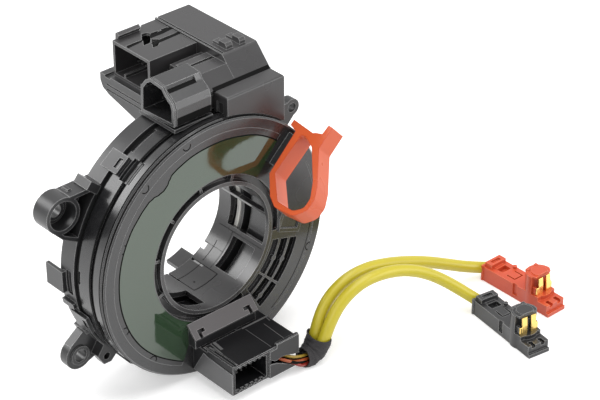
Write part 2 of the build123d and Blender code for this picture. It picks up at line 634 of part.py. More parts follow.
# keyhole slots of the roof, from the mouth's left edge and the front side
REAR_KEYWAY = [
    (0.9, 14.4), (8.4, 14.4), (6.2, 11.2), (9.6, 11.4), (12.0, 14.4), (13.0, 15.4), (17.6, 16.4),
    (17.6, 17.2), (14.2, 17.4), (13.6, 18.8), (11.4, 19.2), (8.6, 15.4), (0.9, 15.4),
]
FRONT_KEYWAY = [(7.8, 7.6), (9.8, 7.4), (13.8, 10.2), (21.6, 10.2), (21.6, 11.2), (13.8, 11.2), (11.5, 13.4)]
with BuildPart() as large_socket_housing:
    block((LARGE_LEFT, LARGE_FRONT, BASE_TOP), (LARGE_RIGHT, LARGE_REAR, LARGE_TOP))
    block(
        (LARGE_LEFT - 0.1, LARGE_FRONT + SOCKET_WALL, BASE_TOP + SOCKET_WALL),
        (LARGE_LEFT + LARGE_DEPTH, LARGE_REAR - SOCKET_WALL, LARGE_TOP - SOCKET_WALL), Mode.SUBTRACT,
    )
    # keyways of the roof and a notch beside the terminal cover
    with BuildSketch(Plane.XY.offset(LARGE_TOP - 2.0)):
        for keyway in (REAR_KEYWAY, FRONT_KEYWAY):
            Polygon(*[(LARGE_LEFT + x, LARGE_FRONT + y) for x, y in keyway], align=None)
    extrude(amount=2.1, mode=Mode.SUBTRACT)
    block(
        (LARGE_RIGHT - 3.8, LARGE_FRONT + 14.8, LARGE_TOP - 1.4),
        (LARGE_RIGHT - 0.4, LARGE_FRONT + 17.2, LARGE_TOP + 0.1),
        Mode.SUBTRACT,
    )
    # two keys on the cavity's floor
    for key_y in (LARGE_FRONT + 5.6, LARGE_REAR - 6.9):
        block(
            (LARGE_LEFT + 0.4, key_y, BASE_TOP + SOCKET_WALL),
            (LARGE_LEFT + 12.4, key_y + 1.0, BASE_TOP + SOCKET_WALL + 1.3),
        )
    # the roof is deeper beside the terminal cover, with a folded flap along the rest of its rear edge
    with BuildSketch(Plane.XY.offset(BASE_TOP + 0.6)):
        Polygon(
            (LARGE_RIGHT - 9.6, LARGE_REAR - 0.1), (LARGE_RIGHT, LARGE_REAR - 0.1),
            (LARGE_RIGHT, LARGE_REAR + REAR_SHELF), (LARGE_RIGHT - 6.8, LARGE_REAR + REAR_SHELF), align=None,
        )
    extrude(amount=LARGE_HEIGHT - 0.6)
    with BuildSketch(Plane.YZ.offset(LARGE_LEFT + 2.2)):
        Polygon(*[(LARGE_REAR + y, LARGE_TOP + z) for y, z in FLAP], align=None)
        Polygon(*[(LARGE_REAR + y, LARGE_TOP + z) for y, z in FLAP_FOOT], align=None)
    extrude(amount=10.6)
    with BuildSketch(Plane.YZ.offset(LARGE_LEFT + LARGE_DEPTH - 0.5)):
        with Locations(*LARGE_PINS):
            Rectangle(PIN_SIZE + 2.0 * PIN_FIT, PIN_SIZE + 2.0 * PIN_FIT)
    extrude(amount=LARGE_RIGHT - LARGE_LEFT - LARGE_DEPTH + 1.0, mode=Mode.SUBTRACT)
large_socket_housing.part.label = "large_socket_housing"
export_step(large_socket_housing.part, "parts/large_socket_housing.step")

# Small column-side socket with chamfered mouth
SMALL_OUTLINE = [
    (-2.1, 12.0), (-5.0, 15.6), (-7.6, 17.2), (-15.1, 16.5), (-17.0, 14.1), (-20.3, 11.6),
    (-21.2, 9.0), (-21.0, SMALL_SHELF + 1.2), (-1.6, SMALL_SHELF + 0.1),
]
# step along the roof's front edge
SMALL_STEP = [(-15.1, 16.6), (-15.3, 14.9), (-17.1, 14.15), (-18.2, 17.0)]
SMALL_RIGHT = COVER_LEFT - 1.0
SMALL_PINS = [(-15.4 + 3.0 * i, BASE_TOP + 6.1 + 3.6 * j) for i in range(4) for j in range(2)]
with BuildPart() as small_socket_housing:
    with BuildSketch(Plane.YZ.offset(SMALL_LEFT)):
        Polygon(*above(SMALL_OUTLINE), align=None)
    extrude(amount=SMALL_RIGHT - SMALL_LEFT)
    with BuildSketch(Plane.YZ.offset(SMALL_LEFT)):
        Polygon(*above(SMALL_OUTLINE), align=None)
        offset(amount=-SMALL_WALL, mode=Mode.REPLACE)
    extrude(amount=SMALL_DEPTH, mode=Mode.SUBTRACT)
    # thin groove behind the mouth's rim
    with BuildSketch(Plane.YZ.offset(SMALL_LEFT + 0.9)):
        Polygon(*above(SMALL_OUTLINE), align=None)
        Polygon(*above(SMALL_OUTLINE), align=None)
        offset(amount=-0.35, mode=Mode.SUBTRACT)
    extrude(amount=0.5, mode=Mode.SUBTRACT)
    with BuildSketch(Plane.YZ.offset(SMALL_LEFT + 1.4)):
        Polygon(*above(SMALL_STEP), align=None)
    extrude(amount=SMALL_RIGHT - SMALL_LEFT - 4.4, mode=Mode.SUBTRACT)
    with BuildSketch(Plane.YZ.offset(SMALL_LEFT + SMALL_DEPTH - 0.5)):
        with Locations(*SMALL_PINS):
            Rectangle(PIN_SIZE + 2.0 * PIN_FIT, PIN_SIZE + 2.0 * PIN_FIT)
    extrude(amount=6.0, mode=Mode.SUBTRACT)
    # stub that stands against the terminal cover
    block((SMALL_RIGHT, -12.0, BASE_TOP + 1.5), (COVER_LEFT - 0.1, -3.0, BASE_TOP + 9.5))
small_socket_housing.part.label = "small_socket_housing"
export_step(small_socket_housing.part, "parts/small_socket_housing.step")

# Pins of the two column-side sockets
with BuildPart() as large_socket_pins:
    with BuildSketch(Plane.YZ.offset(LARGE_LEFT + LARGE_DEPTH - 9.0)):
        with Locations(*LARGE_PINS):
            Rectangle(PIN_SIZE, PIN_SIZE)
    extrude(amount=LARGE_RIGHT - LARGE_LEFT - LARGE_DEPTH + 9.0)
large_socket_pins.part.label = "large_socket_pins"
export_step(large_socket_pins.part, "parts/large_socket_pins.step")

with BuildPart() as small_socket_pins:
    with BuildSketch(Plane.YZ.offset(SMALL_LEFT + SMALL_DEPTH - 8.5)):
        with Locations(*SMALL_PINS):
            Rectangle(PIN_SIZE, PIN_SIZE)
    extrude(amount=SMALL_RIGHT - SMALL_LEFT - SMALL_DEPTH + 8.5)
small_socket_pins.part.label = "small_socket_pins"
export_step(small_socket_pins.part, "parts/small_socket_pins.step")

# Busbar block under the terminal cover
BAR_LEFT = COVER_STEP + COVER_WALL + 0.1
BAR_FRONT = COVER_NOSE + COVER_WALL + 2.8
BAR_REAR = COVER_REAR - COVER_WALL - 1.9
with BuildPart() as busbar_block:
    block((BAR_LEFT, BAR_FRONT, BASE_TOP), (BASE_RIGHT - COVER_WALL - 0.9, BAR_REAR, BASE_TOP + 3.0))
    for i in range(6):
        bar_x = BAR_LEFT + 1.0 + 1.9 * i
        block((bar_x, BAR_FRONT + 1.0, BASE_TOP + 3.0), (bar_x + 0.8, BAR_REAR - 1.0, BASE_TOP + 5.0))
busbar_block.part.label = "busbar_block"
export_step(busbar_block.part, "parts/busbar_block.step")

# Sensor cover behind the gears
BOARD_INNER_R = HUB_R + 5.3
BOARD_OUTER_R = CASE_WALL_R - BOARD_INSET
with BuildPart() as sensor_cover:
    with BuildSketch(across(SCREW_HEAD)):
        Circle(CASE_WALL_R - TURN_GAP)
        Circle(HUB_R + 1.0, mode=Mode.SUBTRACT)
        for angle in SCREW_ANGLES:
            with Locations(polar(SCREW_RING_R, angle)):
                Circle(SCREW_R + 0.05, mode=Mode.SUBTRACT)
    extrude(amount=COVER_THICK)
    with BuildSketch(across(COVER_FRONT)):
        for angle in (46.0, 90.0, 134.0):
            with Locations(polar(BOARD_OUTER_R - 3.0, angle)):
                Circle(1.5)
    extrude(amount=PAD_RISE)
sensor_cover.part.label = "sensor_cover"
export_step(sensor_cover.part, "parts/sensor_cover.step")

with BuildPart() as case_screws:
    with BuildSketch(across(0.0)):
        for angle in SCREW_ANGLES:
            with Locations(polar(SCREW_RING_R, angle)):
                Circle(SCREW_HEAD_R)
    extrude(amount=SCREW_HEAD)
    with BuildSketch(across(SCREW_HEAD)):
        for angle in SCREW_ANGLES:
            with Locations(polar(SCREW_RING_R, angle)):
                Circle(SCREW_R)
    extrude(amount=SCREW_LENGTH)
case_screws.part.label = "case_screws"
export_step(case_screws.part, "parts/case_screws.step")

# Sensor board: ring segment on the cover's pads
with BuildPart() as sensor_board:
    with BuildSketch(across(PAD_TOP)):
        sector(BOARD_INNER_R, BOARD_OUTER_R, 40.0, 100.0)
    extrude(amount=BOARD_THICK)
sensor_board.part.label = "sensor_board"
export_step(sensor_board.part, "parts/sensor_board.step")

# Gears: the drive gear on the hub turns two measuring gears with magnets
with BuildPart() as drive_gear:
    with BuildSketch(across(GEAR_BACK)):
        with BuildLine():
            Polyline(*tooth_outline(DRIVE_TEETH), close=True)
        make_face()
        Circle(HUB_R + SEAT_GAP, mode=Mode.SUBTRACT)
    extrude(amount=GEAR_THICK)
drive_gear.part.label = "drive_gear"
export_step(drive_gear.part, "parts/drive_gear.step")

with BuildPart() as measuring_gear_1:
    with BuildSketch(across(GEAR_BACK)):
        with Locations(Location(polar(GEAR_1_AT, GEAR_1_ANGLE), gear_turn(GEAR_1_TEETH, GEAR_1_ANGLE))):
            Polygon(*tooth_outline(GEAR_1_TEETH), align=None)
    extrude(amount=GEAR_THICK)
    with BuildSketch(across(GEAR_BACK + 0.4)):
        with Locations(polar(GEAR_1_AT, GEAR_1_ANGLE)):
            Circle(PIN_R + SEAT_GAP)
    extrude(amount=GEAR_THICK, mode=Mode.SUBTRACT)
measuring_gear_1.part.label = "measuring_gear_1"
export_step(measuring_gear_1.part, "parts/measuring_gear_1.step")

with BuildPart() as measuring_gear_2:
    with BuildSketch(across(GEAR_BACK)):
        with Locations(Location(polar(GEAR_2_AT, GEAR_2_ANGLE), gear_turn(GEAR_2_TEETH, GEAR_2_ANGLE))):
            Polygon(*tooth_outline(GEAR_2_TEETH), align=None)
    extrude(amount=GEAR_THICK)
    with BuildSketch(across(GEAR_BACK + 0.4)):
        with Locations(polar(GEAR_2_AT, GEAR_2_ANGLE)):
            Circle(PIN_R + SEAT_GAP)
    extrude(amount=GEAR_THICK, mode=Mode.SUBTRACT)
measuring_gear_2.part.label = "measuring_gear_2"
export_step(measuring_gear_2.part, "parts/measuring_gear_2.step")

MAGNET_R = 2.8
with BuildPart() as gear_1_magnet:
    with BuildSketch(across(MAGNET_BACK)):
        with Locations(polar(GEAR_1_AT, GEAR_1_ANGLE)):
            Circle(MAGNET_R)
    extrude(amount=MAGNET_THICK)
gear_1_magnet.part.label = "gear_1_magnet"
export_step(gear_1_magnet.part, "parts/gear_1_magnet.step")

with BuildPart() as gear_2_magnet:
    with BuildSketch(across(MAGNET_BACK)):
        with Locations(polar(GEAR_2_AT, GEAR_2_ANGLE)):
            Circle(MAGNET_R)
    extrude(amount=MAGNET_THICK)
gear_2_magnet.part.label = "gear_2_magnet"
export_step(gear_2_magnet.part, "parts/gear_2_magnet.step")

# Ribbon: a spiral of half turns about two centres
with BuildPart() as ribbon_cable:
    with BuildSketch(across(RIBBON_BACK)):
        for turn in range(RIBBON_HALF_TURNS):
            centre = (0.0 if turn % 2 == 0 else RIBBON_STEP / 2.0, 0.0)
            radius = RIBBON_START_R + RIBBON_STEP / 2.0 * turn
            start = 0.0 if turn % 2 == 0 else 180.0
            with BuildLine():
                inner = CenterArc(centre, radius - RIBBON_THICK / 2.0, start, 180.0)
                outer = CenterArc(centre, radius + RIBBON_THICK / 2.0, start, 180.0)
                Line(inner @ 0, outer @ 0)
                Line(inner @ 1, outer @ 1)
            make_face()
    extrude(amount=RIBBON_FRONT - RIBBON_BACK)
ribbon_cable.part.label = "ribbon_cable"
export_step(ribbon_cable.part, "parts/ribbon_cable.step")

with BuildPart() as ribbon_clamp:
    with BuildSketch(across(RIBBON_BACK + 1.0)):
        sector(SKIRT_R + SEAT_GAP, SKIRT_R + 1.6, -9.0, 8.0)
    extrude(amount=RIBBON_FRONT - RIBBON_BACK - 2.0)
ribbon_clamp.part.label = "ribbon_clamp"
export_step(ribbon_clamp.part, "parts/ribbon_clamp.step")

# Rotor disc with its skirt, vents, label recess and clip guide
LABEL_INNER_R = DISC_BORE_R + 0.8
LABEL_THICK = 0.2
LABEL_SINK = 0.3
LABEL_FIT = 0.12
# the film's outer edge steps round the disc: start angle, end angle, distance inside the rim
LABEL_STEPS = [
    (50.5, 97.0, 7.0), (97.0, 113.7, 5.2), (113.7, 119.5, 8.4), (119.5, 130.5, 10.2),
    (130.5, 182.0, 7.6), (182.0, 229.0, 6.4),
]
VENT_ROWS = ((-1.7, 1.8), (2.9, 6.7), (7.8, 11.6))
VENT_SPANS = ((-43.8, 27.4), (-60.3, 15.1))
MARKS = ((104.8, 1.1), (129.6, 1.0), (157.2, 4.9), (201.1, 4.4), (227.9, 3.8), (-22.4, 2.4))
WINDOW_ANGLE = -5.2
with BuildPart() as rotor_disc:
    with BuildSketch(Plane.XY):
        with BuildLine():
            Polyline(
                *profile([
                    (DISC_BORE_R, SKIRT_BACK), (SKIRT_R, SKIRT_BACK), (SKIRT_R, DISC_BACK),
                    (MIDDLE_R - 0.3, DISC_BACK), (MIDDLE_R, DISC_BACK + 0.3), (MIDDLE_R, DISC_FACE - 0.6),
                    (MIDDLE_R - 0.6, DISC_FACE), (DISC_BORE_R, DISC_FACE),
                ]),
                close=True,
            )
        make_face()
    revolve(axis=Axis.Y)
    # inner flange beside the vents
    with BuildSketch(across(DISC_BACK)):
        sector(HUB_LIP_R + 0.2, DISC_BORE_R + 0.8, -66.0, 58.0)
    extrude(amount=DISC_THICK)
    # raised window frame between the clip and the vents
    with BuildSketch(across(DISC_FACE)):
        with Locations(Location(polar(DISC_BORE_R + 6.0, WINDOW_ANGLE), WINDOW_ANGLE - 16.0)):
            Rectangle(12.6, 8.4)
            Rectangle(9.4, 5.2, mode=Mode.SUBTRACT)
        Circle(DISC_BORE_R + 0.4, mode=Mode.SUBTRACT)
    extrude(amount=0.7)
    # guide the clip stands on
    with BuildSketch(across(DISC_FACE - 0.5)):
        with Locations(Location(polar(CLIP_PIN_AT + 1.0, CLIP_ANGLE), CLIP_ANGLE)):
            with Locations((0.0, -1.0)):
                Rectangle(14.0, 6.0)
    extrude(amount=3.5)
    with BuildSketch(across(DISC_BACK)):
        with Locations(Location(polar(CLIP_PIN_AT, CLIP_ANGLE), CLIP_ANGLE)):
            with Locations((0.0, -1.0)):
                Circle(CLIP_PIN_R + 0.1)
    extrude(amount=8.0, mode=Mode.SUBTRACT)
    # vents: three rows of slots with thin rings and one spoke between them
    for low, high in VENT_ROWS:
        for start, span in VENT_SPANS:
            with BuildSketch(across(DISC_BACK)):
                sector(DISC_BORE_R + low, DISC_BORE_R + high, start, span)
            extrude(amount=3.0, mode=Mode.SUBTRACT)
    with BuildSketch(across(DISC_BACK)):
        for rise, angle in ((2.35, -30.7), (7.25, -30.3), (7.25, -56.0)):
            with Locations(polar(DISC_BORE_R + rise, angle)):
                Circle(1.1)
    extrude(amount=DISC_THICK)
    # recess of the film label
    with BuildSketch(across(DISC_FACE - LABEL_SINK)):
        for start, end, inset in LABEL_STEPS:
            sector(LABEL_INNER_R, MIDDLE_R - inset, start, end - start)
        offset(amount=LABEL_FIT, mode=Mode.REPLACE)
    extrude(amount=1.0, mode=Mode.SUBTRACT)
    # seam line of the right half and half round marks along the rim
    with BuildSketch(across(DISC_FACE - 0.3)):
        sector(MIDDLE_R - 4.5, MIDDLE_R - 4.1, -72.0, 96.0)
    extrude(amount=1.0, mode=Mode.SUBTRACT)
    with BuildSketch(across(DISC_FACE - 0.25)):
        for angle, inset in MARKS:
            with Locations(Location(polar(MIDDLE_R - 1.0 - inset, angle), angle + 90.0)):
                sector(1.4, 1.8, 0.0, 180.0)
    extrude(amount=1.0, mode=Mode.SUBTRACT)
rotor_disc.part.label = "rotor_disc"
export_step(rotor_disc.part, "parts/rotor_disc.step")

with BuildPart() as film_label:
    with BuildSketch(across(DISC_FACE - LABEL_SINK)):
        for start, end, inset in LABEL_STEPS:
            sector(LABEL_INNER_R, MIDDLE_R - inset, start, end - start)
    extrude(amount=LABEL_THICK)
film_label.part.label = "film_label"
export_step(film_label.part, "parts/film_label.step")

# Rotor hub: sleeve through the bore with windows, snap fingers, flange and channel ribs
FLANGE_BACK = DISC_BACK - 2.7
FLANGE_THICK = 1.6
WINDOW_BACK = GEAR_FRONT + 1.6
WINDOW_FRONT = FLANGE_BACK - 0.8
with BuildPart() as rotor_hub:
    with BuildSketch(Plane.XY):
        with BuildLine():
            Polyline(
                *profile([
                    (BORE_R, -HUB_OVERHANG), (HUB_R, -HUB_OVERHANG), (HUB_R, FLANGE_BACK),
                    (HUB_FLANGE_R, FLANGE_BACK), (HUB_FLANGE_R, FLANGE_BACK + FLANGE_THICK),
                    (HUB_LIP_R, FLANGE_BACK + FLANGE_THICK), (HUB_LIP_R, DISC_FACE), (BORE_R, DISC_FACE),
                ]),
                close=True,
            )
        make_face()
    revolve(axis=Axis.Y)
    with BuildSketch(across(FLANGE_BACK + FLANGE_THICK - 0.4)):
        for angle in (72.6, 103.3, 135.4, 168.5, 200.0):
            with Locations(Location(polar((HUB_LIP_R + DISC_BORE_R) / 2.0, angle), angle)):
                Rectangle(DISC_BORE_R - HUB_LIP_R - 0.2, 1.2)
    extrude(amount=DISC_FACE - FLANGE_BACK - FLANGE_THICK - 0.4)
    # windows in the sleeve
    for start, span in ((-18.0, 21.0), (9.0, 15.0), (-60.0, 31.0), (100.0, 30.0), (190.0, 30.0)):
        with BuildSketch(across(WINDOW_BACK)):
            sector(BORE_R - 1.0, HUB_R + 0.5, start, span)
        extrude(amount=WINDOW_FRONT - WINDOW_BACK, mode=Mode.SUBTRACT)
    # slits that free two snap fingers at the rear
    for start, span in ((-93.0, 26.0), (52.0, 26.0)):
        with BuildSketch(across(-HUB_OVERHANG - 1.0)):
            sector(BORE_R - 1.0, HUB_R + 0.5, start, 1.6)
            sector(BORE_R - 1.0, HUB_R + 0.5, start + span, 1.6)
        extrude(amount=HUB_OVERHANG + GEAR_BACK + 0.2, mode=Mode.SUBTRACT)
    with BuildSketch(across(-HUB_OVERHANG - 1.0)):
        sector(BORE_R - 1.0, HUB_R + 0.5, -53.0, 6.0)
    extrude(amount=3.2, mode=Mode.SUBTRACT)
    # driving tongue behind the sleeve
    with BuildSketch(across(-HUB_OVERHANG - 8.0)):
        sector(BORE_R + TONGUE_RELIEF, HUB_R, -80.0, 18.0)
    extrude(amount=8.2)
rotor_hub.part.label = "rotor_hub"
export_step(rotor_hub.part, "parts/rotor_hub.step")

# Wheel-side socket, open to the front
WHEEL_FRONT = -DISC_FACE - WHEEL_DEPTH
WHEEL_PINS = [(WHEEL_LEFT + 2.8 + 2.4 * i, WHEEL_LOW + 3.6 + 5.0 * j) for i in range(6) for j in range(2)]
with BuildPart() as wheel_socket_housing:
    block((WHEEL_LEFT, WHEEL_FRONT, WHEEL_LOW), (WHEEL_RIGHT, -DISC_FACE, WHEEL_TOP))
    block(
        (WHEEL_LEFT + SOCKET_WALL, WHEEL_FRONT - 0.1, WHEEL_LOW + SOCKET_WALL),
        (WHEEL_RIGHT - SOCKET_WALL, WHEEL_FRONT + WHEEL_CAVITY, WHEEL_TOP - SOCKET_WALL), Mode.SUBTRACT,
    )
    # side slab, rail and sunk roof
    block((WHEEL_LEFT, WHEEL_FRONT, WHEEL_TOP - 0.1), (WHEEL_LEFT + 1.1, WHEEL_FRONT + 15.4, WHEEL_TOP + 1.1))
    block(
        (WHEEL_LEFT + 2.5, WHEEL_FRONT + 1.0, WHEEL_TOP - 0.1),
        (WHEEL_LEFT + 3.3, WHEEL_FRONT + 15.4, WHEEL_TOP + 0.7),
    )
    block(
        (WHEEL_LEFT + 4.6, WHEEL_FRONT + 2.0, WHEEL_TOP - 0.5),
        (WHEEL_RIGHT - 1.4, WHEEL_FRONT + 14.6, WHEEL_TOP + 0.1),
        Mode.SUBTRACT,
    )
    # notches along the mouth's rim
    for i in range(6):
        notch_x = WHEEL_LEFT + 2.2 + 2.4 * i
        block(
            (notch_x, WHEEL_FRONT - 0.1, WHEEL_TOP - SOCKET_WALL - 0.1),
            (notch_x + 1.1, WHEEL_FRONT + 1.2, WHEEL_TOP - 0.5), Mode.SUBTRACT,
        )
        block(
            (notch_x, WHEEL_FRONT - 0.1, WHEEL_LOW + 0.5),
            (notch_x + 1.1, WHEEL_FRONT + 1.2, WHEEL_LOW + SOCKET_WALL + 0.1), Mode.SUBTRACT,
        )
    with BuildSketch(across(DISC_FACE + 1.0)):
        with Locations(*WHEEL_PINS):
            Rectangle(PIN_SIZE + 2.0 * PIN_FIT, PIN_SIZE + 2.0 * PIN_FIT)
    extrude(amount=WHEEL_DEPTH - WHEEL_CAVITY, mode=Mode.SUBTRACT)
wheel_socket_housing.part.label = "wheel_socket_housing"
export_step(wheel_socket_housing.part, "parts/wheel_socket_housing.step")

with BuildPart() as wheel_socket_pins:
    with BuildSketch(across(DISC_FACE + 1.0)):
        with Locations(*WHEEL_PINS):
            Rectangle(PIN_SIZE, PIN_SIZE)
    extrude(amount=WHEEL_DEPTH - 8.0)
wheel_socket_pins.part.label = "wheel_socket_pins"
export_step(wheel_socket_pins.part, "parts/wheel_socket_pins.step")

# Bridge cover on the disc above the socket, stepped in front, with two angled notches
BRIDGE_FRONT = -DISC_FACE - BRIDGE_DEPTH
BRIDGE_LOW = WHEEL_TOP + 0.1
with BuildPart() as bridge_cover:
    with BuildSketch(Plane.YZ.offset(BRIDGE_LEFT)):
        Polygon(
            (-DISC_FACE, BRIDGE_TOP), (BRIDGE_FRONT + 3.0, BRIDGE_TOP - 1.0),
            (BRIDGE_FRONT + 3.0, BRIDGE_TOP - 1.7),
            (BRIDGE_FRONT, BRIDGE_TOP - 2.4), (BRIDGE_FRONT, BRIDGE_LOW),
            (-DISC_FACE, BRIDGE_LOW), align=None,
        )
    extrude(amount=BRIDGE_RIGHT - BRIDGE_LEFT)
    with BuildSketch(Plane.YZ.offset(BRIDGE_LEFT + BRIDGE_WALL)):
        Polygon(
            (-DISC_FACE + 0.1, BRIDGE_TOP - BRIDGE_WALL - 0.2),
            (BRIDGE_FRONT + BRIDGE_WALL, BRIDGE_TOP - BRIDGE_WALL - 2.1),
            (BRIDGE_FRONT + BRIDGE_WALL, BRIDGE_LOW + 1.2), (-DISC_FACE + 0.1, BRIDGE_LOW + 1.2), align=None,
        )
    extrude(amount=BRIDGE_RIGHT - BRIDGE_LEFT - 2.0 * BRIDGE_WALL, mode=Mode.SUBTRACT)
    for notch_x, side in ((BRIDGE_LEFT + 3.2, 1), (BRIDGE_RIGHT - 3.2, -1)):
        left, right = sorted((notch_x, notch_x + side * 3.4))
        foot_left, foot_right = sorted((notch_x, notch_x + side * 1.3))
        block(
            (left, BRIDGE_FRONT - 0.1, BRIDGE_TOP - 3.4),
            (right, BRIDGE_FRONT + 0.8, BRIDGE_TOP - 1.0), Mode.SUBTRACT,
        )
        block(
            (foot_left, BRIDGE_FRONT - 0.1, BRIDGE_TOP - 6.0),
            (foot_right, BRIDGE_FRONT + 0.8, BRIDGE_TOP - 2.0), Mode.SUBTRACT,
        )
bridge_cover.part.label = "bridge_cover"
export_step(bridge_cover.part, "parts/bridge_cover.step")

# Wire guide beside the socket: open below its front plate and to the right
GUIDE_LEFT = WHEEL_RIGHT + 0.1
GUIDE_LOW = WHEEL_LOW - 0.6
with BuildPart() as wire_guide:
    block((GUIDE_LEFT, WHEEL_FRONT, GUIDE_LOW), (GUIDE_RIGHT, -DISC_FACE, WHEEL_TOP))
    block((GUIDE_LEFT + 4.0, WHEEL_FRONT, WHEEL_TOP - 2.0), (GUIDE_RIGHT, WHEEL_FRONT + 1.4, WHEEL_TOP + 1.6))
    block(
        (GUIDE_LEFT + 1.4, WHEEL_FRONT + 1.4, GUIDE_LOW + SOCKET_WALL),
        (GUIDE_RIGHT - SOCKET_WALL, -DISC_FACE - 1.2, WHEEL_TOP - SOCKET_WALL), Mode.SUBTRACT,
    )
    block(
        (GUIDE_LEFT + 1.4, WHEEL_FRONT - 0.1, GUIDE_LOW + SOCKET_WALL),
        (GUIDE_RIGHT - SOCKET_WALL, WHEEL_FRONT + 1.5, WHEEL_TOP - 3.6), Mode.SUBTRACT,
    )
    block(
        (GUIDE_RIGHT - SOCKET_WALL - 0.1, WHEEL_FRONT - 0.1, GUIDE_LOW + SOCKET_WALL),
        (GUIDE_RIGHT + 0.1, WHEEL_FRONT + 5.0, WHEEL_TOP - 5.6), Mode.SUBTRACT,
    )
wire_guide.part.label = "wire_guide"
export_step(wire_guide.part, "parts/wire_guide.step")

# Thin wires from the guide into the tape sleeve
SLEEVE_Y = -49.0
SLEEVE_Z = -47.9
WIRE_STARTS = [(9.6, -47.6), (13.6, -48.2), (9.8, -44.8), (13.8, -45.4)]
with BuildPart() as lead_wires:
    for i, (wire_x, wire_z) in enumerate(WIRE_STARTS):
        wire_y = SLEEVE_Y - 0.9 + 1.7 * (i % 2)
        sleeve_z = SLEEVE_Z - 0.9 + 1.8 * (i // 2)
        with BuildLine() as wire_path:
            FilletPolyline(
                (wire_x, -40.0, wire_z), (wire_x + 1.0, wire_y, wire_z), (21.0, wire_y, sleeve_z),
                (23.6, wire_y, sleeve_z), radius=WIRE_BEND,
            )
        with BuildSketch(Plane(origin=wire_path.line @ 0, z_dir=wire_path.line % 0)):
            Circle(WIRE_R)
        sweep(path=wire_path.line)
lead_wires.part.label = "lead_wires"
export_step(lead_wires.part, "parts/lead_wires.step")

# Cloth tape sleeve round the wires and the ends of the two leads
with BuildPart() as tape_sleeve:
    with BuildLine(Plane.XZ.offset(-SLEEVE_Y)) as sleeve_path:
        sleeve_run = Line((20.8, SLEEVE_Z), (24.0, SLEEVE_Z))
        CenterArc((24.0, SLEEVE_Z + 12.0), 12.0, -90.0, 50.0)
    with BuildSketch(Plane(origin=sleeve_run @ 0, z_dir=(1, 0, 0))):
        Circle(SLEEVE_BORE_R + SLEEVE_WALL)
        Circle(SLEEVE_BORE_R, mode=Mode.SUBTRACT)
    sweep(path=sleeve_path.line)
tape_sleeve.part.label = "tape_sleeve"
export_step(tape_sleeve.part, "parts/tape_sleeve.step")

# Leads
with BuildPart() as upper_lead:
    with BuildLine() as upper_path:
        FilletPolyline(*UPPER_LEAD, radius=bend_radii(UPPER_LEAD))
    with BuildSketch(Plane(origin=upper_path.line @ 0, z_dir=upper_path.line % 0)):
        Circle(LEAD_D / 2.0)
    sweep(path=upper_path.line)
upper_lead.part.label = "upper_lead"
export_step(upper_lead.part, "parts/upper_lead.step")

with BuildPart() as lower_lead:
    with BuildLine() as lower_path:
        FilletPolyline(*LOWER_LEAD, radius=bend_radii(LOWER_LEAD))
    with BuildSketch(Plane(origin=lower_path.line @ 0, z_dir=lower_path.line % 0)):
        Circle(LEAD_D / 2.0)
    sweep(path=lower_path.line)
lower_lead.part.label = "lower_lead"
export_step(lower_lead.part, "parts/lower_lead.step")
for name, path, part in (
    ("upper", upper_path, upper_lead.part), ("lower", lower_path, lower_lead.part),
):
    section = pi * LEAD_D ** 2 / 4.0
    length = sum(edge.length for edge in path.edges())
    print(name, "lead length", round(length, 1), "volume ratio", round(part.volume / (section * length), 4))

# Airbag plugs: flat body with a rear rim, a barrel cut open in front of its blades, a slide for the lock
TONGUE_LOW = PLUG_HEIGHT - TONGUE_THICK
TONGUE_END = SLIDER_BACK + SLIDER_TONGUE
BODY_TOP = PLUG_HEIGHT
BLADE_X = BARREL_AT + BARREL_CUT + 0.05
BLADE_TOP = BARREL_TOP - 1.6


